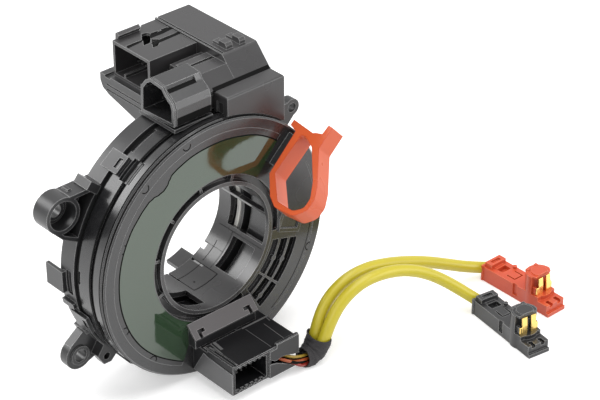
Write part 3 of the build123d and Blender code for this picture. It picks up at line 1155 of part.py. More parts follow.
def plug_body():
    """Plug body with its barrel, slide, tab, notches and stepped nose."""
    block((0.0, -PLUG_WIDTH / 2, 0.0), (PLUG_LENGTH - PLUG_NOSE, PLUG_WIDTH / 2, BODY_TOP))
    block((0.0, -PLUG_WIDTH / 2, 0.0), (PLUG_LENGTH, PLUG_WIDTH / 2, BODY_TOP - NOSE_STEP))
    block(
        (0.0, -PLUG_WIDTH / 2 - RIM_PROUD, 0.0),
        (REAR_RIM, PLUG_WIDTH / 2 + RIM_PROUD, BODY_TOP + RIM_PROUD),
    )
    with Locations((BARREL_AT, 0.0, 0.0)):
        Cylinder(BARREL_R, BARREL_TOP, align=(Align.CENTER, Align.CENTER, Align.MIN))
    # the barrel's front half ends above the body, its roof has a round recess
    block(
        (BARREL_AT + BARREL_CUT, -BARREL_R - 0.1, BODY_TOP),
        (BARREL_AT + BARREL_R + 0.1, BARREL_R + 0.1, BARREL_TOP + 0.1), Mode.SUBTRACT,
    )
    with Locations((BARREL_AT, 0.0, BARREL_TOP - 2.0)):
        Cylinder(BARREL_RECESS_R, 2.1, align=(Align.CENTER, Align.CENTER, Align.MIN), mode=Mode.SUBTRACT)
    # slots that hold the blades' feet
    for side in (-1, 1):
        blade_y = side * BLADE_GAP / 2.0
        block(
            (BLADE_X - 0.05, blade_y - BLADE_WIDTH / 2 - 0.05, BODY_TOP - 3.0),
            (BLADE_X + BLADE_THICK + 0.05, blade_y + BLADE_WIDTH / 2 + 0.05, BODY_TOP + 0.1), Mode.SUBTRACT,
        )
    # slide of the lock, with a rib's width behind it
    block(
        (REAR_RIM, -TONGUE_HALF - SLIDE_GAP, TONGUE_LOW - SLIDE_GAP),
        (
        TONGUE_END + SLIDER_TRAVEL + 0.3, TONGUE_HALF + SLIDE_GAP, BODY_TOP + RIM_PROUD + 0.1), Mode.SUBTRACT,
    )
    block(
        (REAR_RIM - 1.0, -TONGUE_HALF - SLIDE_GAP, BODY_TOP - 0.8),
        (REAR_RIM + 0.1, TONGUE_HALF + SLIDE_GAP, BODY_TOP + 1.0), Mode.SUBTRACT,
    )
    # spring tab cut free on three sides
    for low, high in (((11.6, -2.6), (16.4, -1.9)), ((11.6, 1.9), (16.4, 2.6)), ((15.7, -2.6), (16.4, 2.6))):
        block((*low, BODY_TOP - 1.2), (*high, BODY_TOP + 0.1), Mode.SUBTRACT)
    with Locations((TONGUE_END + SLIDER_TRAVEL + 1.2, PLUG_WIDTH / 2 - 1.2, BODY_TOP - 0.1)):
        Cylinder(0.9, 1.3, align=(Align.CENTER, Align.CENTER, Align.MIN))
    # side notches and the nose's slots
    for side_y in (-PLUG_WIDTH / 2 - 0.1, PLUG_WIDTH / 2 - 0.7):
        block((17.6, side_y, 1.6), (20.0, side_y + 0.8, BODY_TOP + 0.1), Mode.SUBTRACT)
    for slot_y in (-3.2, 1.4):
        block(
            (PLUG_LENGTH - 3.8, slot_y, BODY_TOP - NOSE_STEP - 1.4),
            (PLUG_LENGTH + 0.1, slot_y + 1.8, BODY_TOP), Mode.SUBTRACT,
        )
    block(
        (PLUG_LENGTH - 0.9, -PLUG_WIDTH / 2 - 0.1, 1.6),
        (PLUG_LENGTH + 0.1, PLUG_WIDTH / 2 + 0.1, BODY_TOP), Mode.SUBTRACT,
    )


def slider_body():
    """Lock slider: a bar across the plug with a slot, on a tongue that runs in the slide."""
    block(
        (SLIDER_BACK, -SLIDER_HALF, BODY_TOP + SLIDE_GAP),
        (SLIDER_BACK + SLIDER_LENGTH, SLIDER_HALF, BODY_TOP + SLIDER_RISE),
    )
    block(
        (SLIDER_BACK + 1.2, -TONGUE_HALF, TONGUE_LOW),
        (TONGUE_END, TONGUE_HALF, BODY_TOP + SLIDE_GAP + 0.1),
    )
    block(
        (SLIDER_BACK + 1.1, -2.4, BODY_TOP + 1.0),
        (SLIDER_BACK + SLIDER_LENGTH - 0.9, 2.4, BODY_TOP + SLIDER_RISE + 0.1), Mode.SUBTRACT,
    )


def blades():
    """Two contact blades, each with a foot bent forward on the plug's top."""
    for side in (-1, 1):
        blade_y = side * BLADE_GAP / 2.0
        block(
            (BLADE_X, blade_y - BLADE_WIDTH / 2, BODY_TOP - 2.9),
            (BLADE_X + BLADE_THICK, blade_y + BLADE_WIDTH / 2, BLADE_TOP),
        )
        block(
            (BLADE_X, blade_y - BLADE_WIDTH / 2, BODY_TOP + 0.05),
            (BLADE_X + 2.6, blade_y + BLADE_WIDTH / 2, BODY_TOP + 0.7),
        )


with BuildPart(ORANGE_PLANE) as orange_plug:
    plug_body()
    # the lead enters the rear end on its own line
    with BuildSketch(lead_mouth(UPPER_LEAD)):
        Circle(LEAD_D / 2.0 + 0.08)
    extrude(amount=9.0, mode=Mode.SUBTRACT)
orange_plug.part.label = "orange_plug"
export_step(orange_plug.part, "parts/orange_plug.step")

with BuildPart(BLACK_PLANE) as black_plug:
    plug_body()
    # the lead enters the rear end on its own line
    with BuildSketch(lead_mouth(LOWER_LEAD)):
        Circle(LEAD_D / 2.0 + 0.08)
    extrude(amount=9.0, mode=Mode.SUBTRACT)
black_plug.part.label = "black_plug"
export_step(black_plug.part, "parts/black_plug.step")

with BuildPart(ORANGE_PLANE) as orange_plug_slider:
    slider_body()
orange_plug_slider.part.label = "orange_plug_slider"
export_step(orange_plug_slider.part, "parts/orange_plug_slider.step")

with BuildPart(BLACK_PLANE) as black_plug_slider:
    slider_body()
black_plug_slider.part.label = "black_plug_slider"
export_step(black_plug_slider.part, "parts/black_plug_slider.step")

with BuildPart(ORANGE_PLANE) as orange_plug_contacts:
    blades()
orange_plug_contacts.part.label = "orange_plug_contacts"
export_step(orange_plug_contacts.part, "parts/orange_plug_contacts.step")

with BuildPart(BLACK_PLANE) as black_plug_contacts:
    blades()
black_plug_contacts.part.label = "black_plug_contacts"
export_step(black_plug_contacts.part, "parts/black_plug_contacts.step")

# Lock clip: bent strip with a finger loop, its pin in the disc; points are (radius, station)
CLIP_OUTER = [
    (57.0, -0.6), (56.0, 11.0), (56.6, 12.0), (57.4, 15.0), (61.4, 15.3), (61.4, 17.6),
    (52.0, 17.6), (39.4, 26.9), (36.0, 28.5), (31.6, 29.6), (27.6, 27.5), (24.6, 23.6),
    (24.4, 15.0), (27.0, 10.5), (34.5, 3.8), (53.4, 3.2), (54.6, -0.6),
]
CLIP_INNER = [
    (53.2, 6.6), (35.7, 6.0), (26.9, 14.7), (26.8, 23.4), (28.6, 26.2), (32.1, 27.5),
    (40.1, 23.8), (51.1, 14.2), (53.5, 9.0),
]
CLIP_RADIAL = Vector(cos(radians(CLIP_ANGLE)), 0.0, sin(radians(CLIP_ANGLE)))
CLIP_TANGENT = Vector(sin(radians(CLIP_ANGLE)), 0.0, -cos(radians(CLIP_ANGLE)))
CLIP_ORIGIN = Vector(0.0, -DISC_FACE, 0.0) + CLIP_TANGENT * CLIP_SIDE_BACK
with BuildPart() as lock_clip:
    with BuildSketch(Plane(origin=CLIP_ORIGIN, x_dir=CLIP_RADIAL, z_dir=CLIP_TANGENT)):
        with BuildLine():
            Polyline(*CLIP_OUTER, close=True)
        make_face()
        with BuildLine():
            Polyline(*CLIP_INNER, close=True)
        make_face(mode=Mode.SUBTRACT)
    extrude(amount=CLIP_WIDTH)
    with BuildSketch(across(DISC_BACK + 0.6)):
        with Locations(Location(polar(CLIP_PIN_AT, CLIP_ANGLE), CLIP_ANGLE)):
            with Locations((0.0, -1.0)):
                Circle(CLIP_PIN_R)
    extrude(amount=4.8)
lock_clip.part.label = "lock_clip"
export_step(lock_clip.part, "parts/lock_clip.step")
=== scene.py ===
"""Steering clock spring: finishes, leads, fine detail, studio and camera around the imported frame."""

from __future__ import annotations

import logging
import math
from dataclasses import dataclass, field
from enum import Enum

import bmesh
import bpy
from mathutils import Matrix, Vector
from mathutils.geometry import tessellate_polygon

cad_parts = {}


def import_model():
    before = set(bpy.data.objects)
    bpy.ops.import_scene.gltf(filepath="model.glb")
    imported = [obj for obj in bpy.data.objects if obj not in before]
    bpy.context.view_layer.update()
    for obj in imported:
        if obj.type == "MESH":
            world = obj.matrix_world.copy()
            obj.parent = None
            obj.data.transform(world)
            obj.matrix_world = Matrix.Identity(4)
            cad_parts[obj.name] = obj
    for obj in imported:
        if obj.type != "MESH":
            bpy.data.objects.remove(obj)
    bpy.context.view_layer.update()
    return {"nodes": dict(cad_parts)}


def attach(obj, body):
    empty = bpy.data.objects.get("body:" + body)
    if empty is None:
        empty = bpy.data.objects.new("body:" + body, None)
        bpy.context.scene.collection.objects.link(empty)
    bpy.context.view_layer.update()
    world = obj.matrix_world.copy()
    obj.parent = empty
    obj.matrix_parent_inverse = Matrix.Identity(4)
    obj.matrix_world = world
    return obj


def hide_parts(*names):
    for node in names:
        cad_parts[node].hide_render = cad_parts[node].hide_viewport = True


LOG = logging.getLogger("clock_spring")
# One millimetre, and how close two points lie to be joined, both in metres
MM = 0.001
JOIN = 1e-6
# Edges that turn more than this are rounded
SHARP = math.radians(40.0)
Point = tuple[float, float, float]
# A stretch of round wall: inner and outer radius, first and last angle, rear and front station
Shell = tuple[float, float, float, float, float, float]


def metres(*values: float) -> Vector:
    """Return a point given in millimetres as a vector in metres."""
    return Vector(values) * MM


def polar(radius: float, angle: float, station: float) -> Vector:
    """Return the point at a radius, an angle about the bore and a station in front of the case, in metres."""
    turn = math.radians(angle)
    return metres(radius * math.cos(turn), -station, radius * math.sin(turn))


def linked(name: str, data: bpy.types.ID) -> bpy.types.Object:
    """Put a new object in the scene, at the origin.

    Args:
        name: Its name.
        data: Its mesh, curve, camera or lamp.

    Returns:
        The object.
    """
    item = bpy.data.objects.new(name, data)
    bpy.context.scene.collection.objects.link(item)
    return item


def applied(item: bpy.types.Object) -> bpy.types.Mesh:
    """Return a piece's mesh with its modifiers applied."""
    return bpy.data.meshes.new_from_object(item.evaluated_get(bpy.context.evaluated_depsgraph_get()))


class Body(Enum):
    """Rigid bodies of the unit."""

    STATOR = "stator"
    ROTOR = "rotor"
    CLIP = "clip"
    ORANGE_SLIDER = "orange_slider"
    BLACK_SLIDER = "black_slider"


class Grain(Enum):
    """How a surface breaks up the light."""

    MOULDED = "moulded"
    CLOTH = "cloth"


@dataclass(frozen=True)
class Finish:
    """One finish of the unit: colour, gloss, the grain of its surface and the tone painted along its edges, a painted
    highlight where it is lighter and painted shade where it is darker.
    """

    name: str
    colour: tuple[float, float, float]
    roughness: float
    grain: Grain = Grain.MOULDED
    bump: float = 0.05
    scale: float = 900.0
    metallic: float = 0.0
    coat: float = 0.0
    ior: float = 1.5
    mottling: float = 0.12
    painted_edge_tone: tuple[float, float, float] | None = None


# Tints painted along moulded edges: the grey tints in this table are painted highlights
PAINTED_EDGE_HIGHLIGHT_GREY = (0.27, 0.27, 0.27)
PAINTED_EDGE_HIGHLIGHT_PALE = (0.36, 0.36, 0.36)
GLOSS_BLACK = Finish("gloss_black", (0.021, 0.021, 0.022), 0.25, bump=0.03, coat=0.25, ior=1.54, painted_edge_tone=PAINTED_EDGE_HIGHLIGHT_GREY)
RING_BLACK = Finish("ring_black", (0.013, 0.013, 0.014), 0.25, coat=0.2, painted_edge_tone=PAINTED_EDGE_HIGHLIGHT_GREY)
SATIN_BLACK = Finish("satin_black", (0.019, 0.019, 0.020), 0.32, bump=0.06, ior=1.54, painted_edge_tone=PAINTED_EDGE_HIGHLIGHT_GREY)
SOCKET_BLACK = Finish("socket_black", (0.007, 0.007, 0.008), 0.42, bump=0.10, ior=1.38, painted_edge_tone=(0.40, 0.40, 0.40))
COVER_BLACK = Finish("cover_black", (0.031, 0.030, 0.031), 0.29, ior=1.52, painted_edge_tone=PAINTED_EDGE_HIGHLIGHT_GREY)
BRIDGE_GREY = Finish("bridge_grey", (0.066, 0.060, 0.062), 0.46, bump=0.12, painted_edge_tone=(0.26, 0.25, 0.25))
FILM_GREEN = Finish("film_green", (0.020, 0.046, 0.020), 0.07, scale=520.0, ior=1.85)
# The clip's darker edge tint is painted shade along its edges; the plug's lighter one is a painted highlight
CLIP_ORANGE = Finish(
    "clip_orange", (0.62, 0.100, 0.028), 0.30, bump=0.06, mottling=0.10, painted_edge_tone=(0.52, 0.045, 0.009))
PLUG_ORANGE = Finish("plug_orange", (0.56, 0.072, 0.026), 0.36, bump=0.06, painted_edge_tone=(0.80, 0.18, 0.08))
LEAD_YELLOW = Finish("lead_yellow", (0.54, 0.455, 0.026), 0.34, scale=600.0)
TAPE_BLACK = Finish("tape_black", (0.030, 0.028, 0.030), 0.72, grain=Grain.CLOTH, bump=0.5, scale=2600.0)
CONTACT_GOLD = Finish("contact_gold", (0.86, 0.60, 0.19), 0.22, bump=0.03, metallic=1.0)
PIN_TIN = Finish("pin_tin", (0.42, 0.42, 0.41), 0.30, bump=0.03, metallic=1.0)
STEEL = Finish("screw_steel", (0.48, 0.48, 0.48), 0.30, bump=0.04, metallic=1.0)
BOARD_GREEN = Finish("board_green", (0.02, 0.16, 0.06), 0.35)
CARRIER_GREY = Finish("carrier_grey", (0.10, 0.10, 0.105), 0.45)
GEAR_WHITE = Finish("gear_white", (0.74, 0.73, 0.69), 0.42)
MAGNET_GREY = Finish("magnet_grey", (0.11, 0.11, 0.115), 0.32, metallic=0.8)
RIBBON_AMBER = Finish("ribbon_amber", (0.42, 0.22, 0.06), 0.20)
# Lighter grey for the sheet that paints light on the wheel socket's left side
LIT_SIDE_GREY = Finish("lit_side_grey", (0.080, 0.080, 0.082), 0.36, bump=0.06, ior=1.54, painted_edge_tone=PAINTED_EDGE_HIGHLIGHT_PALE)
# Pale grey strip that paints the highlight on the hub's rib
RIB_HIGHLIGHT_GREY = Finish("rib_highlight_grey", (0.36, 0.36, 0.36), 0.30, bump=0.04)
HUB_BLACK = Finish("hub_black", (0.030, 0.029, 0.030), 0.26, coat=0.2, ior=1.54, painted_edge_tone=PAINTED_EDGE_HIGHLIGHT_GREY)
GUIDE_BLACK = Finish("guide_black", (0.012, 0.012, 0.013), 0.36, bump=0.06, ior=1.45, painted_edge_tone=PAINTED_EDGE_HIGHLIGHT_PALE)
RIDGE_GREY = Finish("ridge_grey", (0.13, 0.13, 0.13), 0.40, bump=0.04)
# Black for real dark lines and marks, and for the sheets that paint shade
LINE_AND_SHADE_BLACK = Finish("line_and_shade_black", (0.004, 0.004, 0.004), 0.60, bump=0.02, ior=1.15)
# Wire colours darkened to paint the shade that the wire guide casts on them
SHADED_WIRE_RED = Finish("wire_red", (0.231, 0.019, 0.012), 0.36)
SHADED_WIRE_ORANGE = Finish("wire_orange", (0.308, 0.061, 0.014), 0.36)
SHADED_WIRE_YELLOW = Finish("wire_yellow", (0.330, 0.220, 0.028), 0.36)
SHADED_WIRE_BROWN = Finish("wire_brown", (0.11, 0.045, 0.03), 0.40)

NODES_BY_FINISH: tuple[tuple[Finish, tuple[str, ...]], ...] = (
    (SATIN_BLACK, ("rear_case", "connector_base", "sensor_cover", "black_plug", "black_plug_slider")),
    (RING_BLACK, ("middle_case",)),
    (GLOSS_BLACK, ("front_collar", "small_socket_housing", "rotor_disc")),
    (COVER_BLACK, ("terminal_cover", "front_box", "large_socket_housing")),
    (SOCKET_BLACK, ("wheel_socket_housing", "wire_guide")),
    (PLUG_ORANGE, ("orange_plug", "orange_plug_slider")),
    (PIN_TIN, ("large_socket_pins", "small_socket_pins", "wheel_socket_pins")),
    (STEEL, ("case_screws",)),
    (BOARD_GREEN, ("sensor_board",)),
    (CARRIER_GREY, ("busbar_block", "ribbon_clamp")),
    (GEAR_WHITE, ("drive_gear", "measuring_gear_1", "measuring_gear_2")),
    (MAGNET_GREY, ("gear_1_magnet", "gear_2_magnet")),
    (RIBBON_AMBER, ("ribbon_cable",)),
)
NODE_FINISHES = {name: finish for finish, names in NODES_BY_FINISH for name in names}
EDGE_RADII = {
    "connector_base": 0.35, "terminal_cover": 0.5, "front_box": 0.5, "large_socket_housing": 0.3,
    "small_socket_housing": 0.3, "wheel_socket_housing": 0.3, "wire_guide": 0.35, "orange_plug_slider": 0.3,
    "black_plug_slider": 0.3,
}


class Net:
    """A node tree that grows by one call for each node."""

    def __init__(self, tree: bpy.types.NodeTree) -> None:
        """Keep the tree that gets the nodes."""
        self.tree = tree

    @classmethod
    def group(cls, name: str, kind: str, inputs: tuple[tuple, ...], outputs: tuple[tuple, ...]) -> Net:
        """Start a node group with its sockets.

        Args:
            name: The group's name.
            kind: The tree's type.
            inputs: Each input's name and kind of socket, and its default where it has one.
            outputs: Each output's name and kind of socket.

        Returns:
            The group.
        """
        net = cls(bpy.data.node_groups.new(name, kind))
        for way, rows in (("INPUT", inputs), ("OUTPUT", outputs)):
            for label, sort, *default in rows:
                socket = net.tree.interface.new_socket(name=label, in_out=way, socket_type=f"NodeSocket{sort}")
                if default:
                    socket.default_value = default[0]
        return net

    def add(self, kind: str, feeds: dict[str | int, object] | None = None, **settings: object) -> bpy.types.Node:
        """Add a node.

        Args:
            kind: The node's type.
            feeds: What its inputs get.
            settings: The node's own settings.

        Returns:
            The node.
        """
        node = self.tree.nodes.new(kind)
        for name, value in settings.items():
            setattr(node, name, value)
        self.feed(node, feeds or {})
        return node

    def feed(self, node: bpy.types.Node, feeds: dict[str | int, object]) -> None:
        """Give a node's inputs a value or another node's output.

        Args:
            node: The node.
            feeds: The value or output for each input, by its name or place.
        """
        for key, value in feeds.items():
            if isinstance(value, bpy.types.NodeSocket):
                self.tree.links.new(value, node.inputs[key])
            else:
                node.inputs[key].default_value = value


class FinishShop:
    """Builds the shared node groups once and one material for each finish."""

    bump_depth: float = 0.0002
    coat_roughness: float = 0.12
    # How far from an edge the painted highlight and shade reach, in metres
    edge_radius: float = 0.00048

    def __init__(self) -> None:
        """Start with no materials and build the shared groups."""
        self.made: dict[str, bpy.types.Material] = {}
        self.grain = self._grain_group()
        self.weave = self._weave_group()
        # The group that paints highlight and shade along edges
        self.edge = self._painted_edge_group()

    @staticmethod
    def _grain_group() -> bpy.types.NodeTree:
        """Build the fine grain of a moulding: colour drift, gloss drift and surface height.

        Returns:
            The node group.
        """
        net = Net.group("surface_grain", "ShaderNodeTree", (
            ("Colour", "Color"), ("Mottling", "Float", 0.12), ("Scale", "Float", 900.0), ("Gloss", "Float", 0.3),
        ), (("Colour", "Color"), ("Roughness", "Float"), ("Height", "Float")))
        given = net.add("NodeGroupInput").outputs
        place = net.add("ShaderNodeTexCoord").outputs["Object"]
        fine = net.add("ShaderNodeTexNoise", {"Detail": 3.0, "Vector": place, "Scale": given["Scale"]})
        broad = net.add("ShaderNodeTexNoise", {"Scale": 55.0, "Detail": 2.0, "Vector": place}).outputs["Fac"]
        drift = net.add("ShaderNodeMath", {0: broad, 1: given["Mottling"], 2: 1.0}, operation="MULTIPLY_ADD")
        lift = net.add(
            "ShaderNodeMath", {0: given["Mottling"], 1: -0.5, 2: drift.outputs[0]}, operation="MULTIPLY_ADD")
        tone = net.add("ShaderNodeVectorMath", {0: given["Colour"], "Scale": lift.outputs[0]}, operation="SCALE")
        gloss = net.add("ShaderNodeMapRange", {
            "Value": broad, "From Min": 0.3, "From Max": 0.7, "To Min": -0.04, "To Max": 0.05,
        })
        total = net.add("ShaderNodeMath", {0: gloss.outputs["Result"], 1: given["Gloss"]}, operation="ADD")
        net.add("NodeGroupOutput", {
            "Colour": tone.outputs[0], "Roughness": total.outputs[0], "Height": fine.outputs["Fac"],
        })
        return net.tree

    @staticmethod
    def _weave_group() -> bpy.types.NodeTree:
        """Build the cloth tape's plain weave from two crossed wave patterns on the piece's UV map.

        Returns:
            The node group.
        """
        net = Net.group("tape_weave", "ShaderNodeTree", (("Threads", "Float", 90.0),), (("Height", "Float"),))
        threads = net.add("NodeGroupInput").outputs["Threads"]
        place = net.add("ShaderNodeTexCoord").outputs["UV"]
        warp, weft = (
            net.add("ShaderNodeTexWave", {"Vector": place, "Scale": threads, "Distortion": 0.6, "Detail": 1.0},
                    wave_type="BANDS", bands_direction=direction).outputs["Fac"]
            for direction in ("X", "Y")
        )
        cross = net.add("ShaderNodeMath", {0: warp, 1: weft}, operation="MAXIMUM")
        net.add("NodeGroupOutput", {"Height": cross.outputs[0]})
        return net.tree

    def _painted_edge_group(self) -> bpy.types.NodeTree:
        """Build the painted highlight along a moulding's edges, where its radius turns from one face to the next; a
        darker tint paints shade there instead.

        Returns:
            The node group, which puts out the colour with the painted edge tone blended in along its edges.
        """
        net = Net.group("painted_edge_shading", "ShaderNodeTree", (("Colour", "Color"), ("Edge Colour", "Color")),
                        (("Colour", "Color"),))
        given = net.add("NodeGroupInput").outputs
        turned = net.add("ShaderNodeBevel", {"Radius": self.edge_radius}, samples=4).outputs["Normal"]
        flat = net.add("ShaderNodeNewGeometry").outputs["Normal"]
        match = net.add("ShaderNodeVectorMath", {0: turned, 1: flat}, operation="DOT_PRODUCT")
        mask = net.add("ShaderNodeMapRange", {
            "Value": match.outputs["Value"], "From Min": 0.985, "From Max": 0.86, "To Min": 0.0, "To Max": 1.0,
        })
        blend = net.add("ShaderNodeMix", data_type="RGBA")
        net.feed(blend, {0: mask.outputs["Result"], 6: given["Colour"], 7: given["Edge Colour"]})
        net.add("NodeGroupOutput", {"Colour": blend.outputs[2]})
        return net.tree

    def material(self, finish: Finish) -> bpy.types.Material:
        """Return the material of a finish, built on first use.

        Args:
            finish: The finish wanted.

        Returns:
            The material, with its Principled BSDF in the material itself.
        """
        if finish.name in self.made:
            return self.made[finish.name]
        material = bpy.data.materials.new(finish.name)
        material.use_nodes = True
        net = Net(material.node_tree)
        grain = net.add("ShaderNodeGroup", node_tree=self.grain)
        net.feed(grain, {
            "Colour": (*finish.colour, 1.0), "Mottling": finish.mottling, "Scale": finish.scale,
            "Gloss": finish.roughness,
        })
        colour, height = grain.outputs["Colour"], grain.outputs["Height"]
        # Painted edge tone: a highlight, on the clip a shade, blended into the colour along the edges
        if finish.painted_edge_tone is not None:
            edge = net.add("ShaderNodeGroup", node_tree=self.edge)
            net.feed(edge, {"Colour": colour, "Edge Colour": (*finish.painted_edge_tone, 1.0)})
            colour = edge.outputs["Colour"]
        if finish.grain is Grain.CLOTH:
            height = net.add("ShaderNodeGroup", node_tree=self.weave).outputs["Height"]
        bump = net.add("ShaderNodeBump", {"Strength": finish.bump, "Distance": self.bump_depth, "Height": height})
        net.feed(net.tree.nodes["Principled BSDF"], {
            "Base Color": colour, "Metallic": finish.metallic, "Roughness": grain.outputs["Roughness"],
            "IOR": finish.ior, "Coat Weight": finish.coat, "Coat Roughness": self.coat_roughness,
            "Normal": bump.outputs["Normal"],
        })
        self.made[finish.name] = material
        return material


def dress(piece: bpy.types.Object, material: bpy.types.Material) -> None:
    """Give every slot of a piece one material.

    Args:
        piece: The piece.
        material: Its material.
    """
    if not piece.data.materials:
        piece.data.materials.append(material)
    for index in range(len(piece.material_slots)):
        piece.material_slots[index].material = material


@dataclass
class FrameDress:
    """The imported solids: their finishes, their smooth round walls and their moulded edge radii."""

    nodes: dict[str, bpy.types.Object]
    shop: FinishShop
    finishes: dict[str, Finish] = field(default_factory=lambda: dict(NODE_FINISHES))
    radii: dict[str, float] = field(default_factory=lambda: dict(EDGE_RADII))
    crease: float = 28.0

    def build(self) -> bpy.types.NodeTree:
        """Dress each shown solid, shade its round walls smooth and round its edges.

        Returns:
            The tree that shades round walls.
        """
        shading = self._shading_tree()
        for name, node in self.nodes.items():
            finish = self.finishes.get(name)
            if finish is None:
                continue
            dress(node, self.shop.material(finish))
            if name in self.radii:
                self._round(node, self.radii[name])
            else:
                node.modifiers.new("round_walls", "NODES").node_group = shading
            LOG.info("dressed %s", name)
        return shading

    def _shading_tree(self) -> bpy.types.NodeTree:
        """Build the tree that joins a solid's facets and shades all but its creases smooth.

        Returns:
            The geometry node tree.
        """
        net = Net.group("round_walls", "GeometryNodeTree", (
            ("Geometry", "Geometry"), ("Crease", "Float", math.radians(self.crease)),
        ), (("Geometry", "Geometry"),))
        given = net.add("NodeGroupInput").outputs
        merge = net.add("GeometryNodeMergeByDistance", {"Geometry": given["Geometry"], "Distance": JOIN})
        faces = net.add("GeometryNodeSetShadeSmooth", {"Geometry": merge.outputs["Geometry"]}, domain="FACE")
        angle = net.add("GeometryNodeInputMeshEdgeAngle").outputs["Unsigned Angle"]
        soft = net.add("FunctionNodeCompare", {0: angle, 1: given["Crease"]}, data_type="FLOAT", operation="LESS_THAN")
        edges = net.add("GeometryNodeSetShadeSmooth", {
            "Geometry": faces.outputs["Geometry"], "Shade Smooth": soft.outputs["Result"],
        }, domain="EDGE")
        net.add("NodeGroupOutput", {"Geometry": edges.outputs["Geometry"]})
        return net.tree

    @staticmethod
    def _round(node: bpy.types.Object, radius: float) -> None:
        """Round a solid's edges as its mould does.

        Args:
            node: The solid's object.
            radius: The edge radius in millimetres.
        """
        weld = node.modifiers.new("weld", "WELD")
        weld.merge_threshold = JOIN
        flat = node.modifiers.new("flat", "DECIMATE")
        flat.decimate_type = "DISSOLVE"
        flat.angle_limit = math.radians(0.6)
        edge = node.modifiers.new("edge", "BEVEL")
        edge.width = radius * MM
        edge.segments = 2
        edge.limit_method = "ANGLE"
        edge.angle_limit = SHARP
        smooth = node.modifiers.new("shade", "WEIGHTED_NORMAL")
        smooth.keep_sharp = True


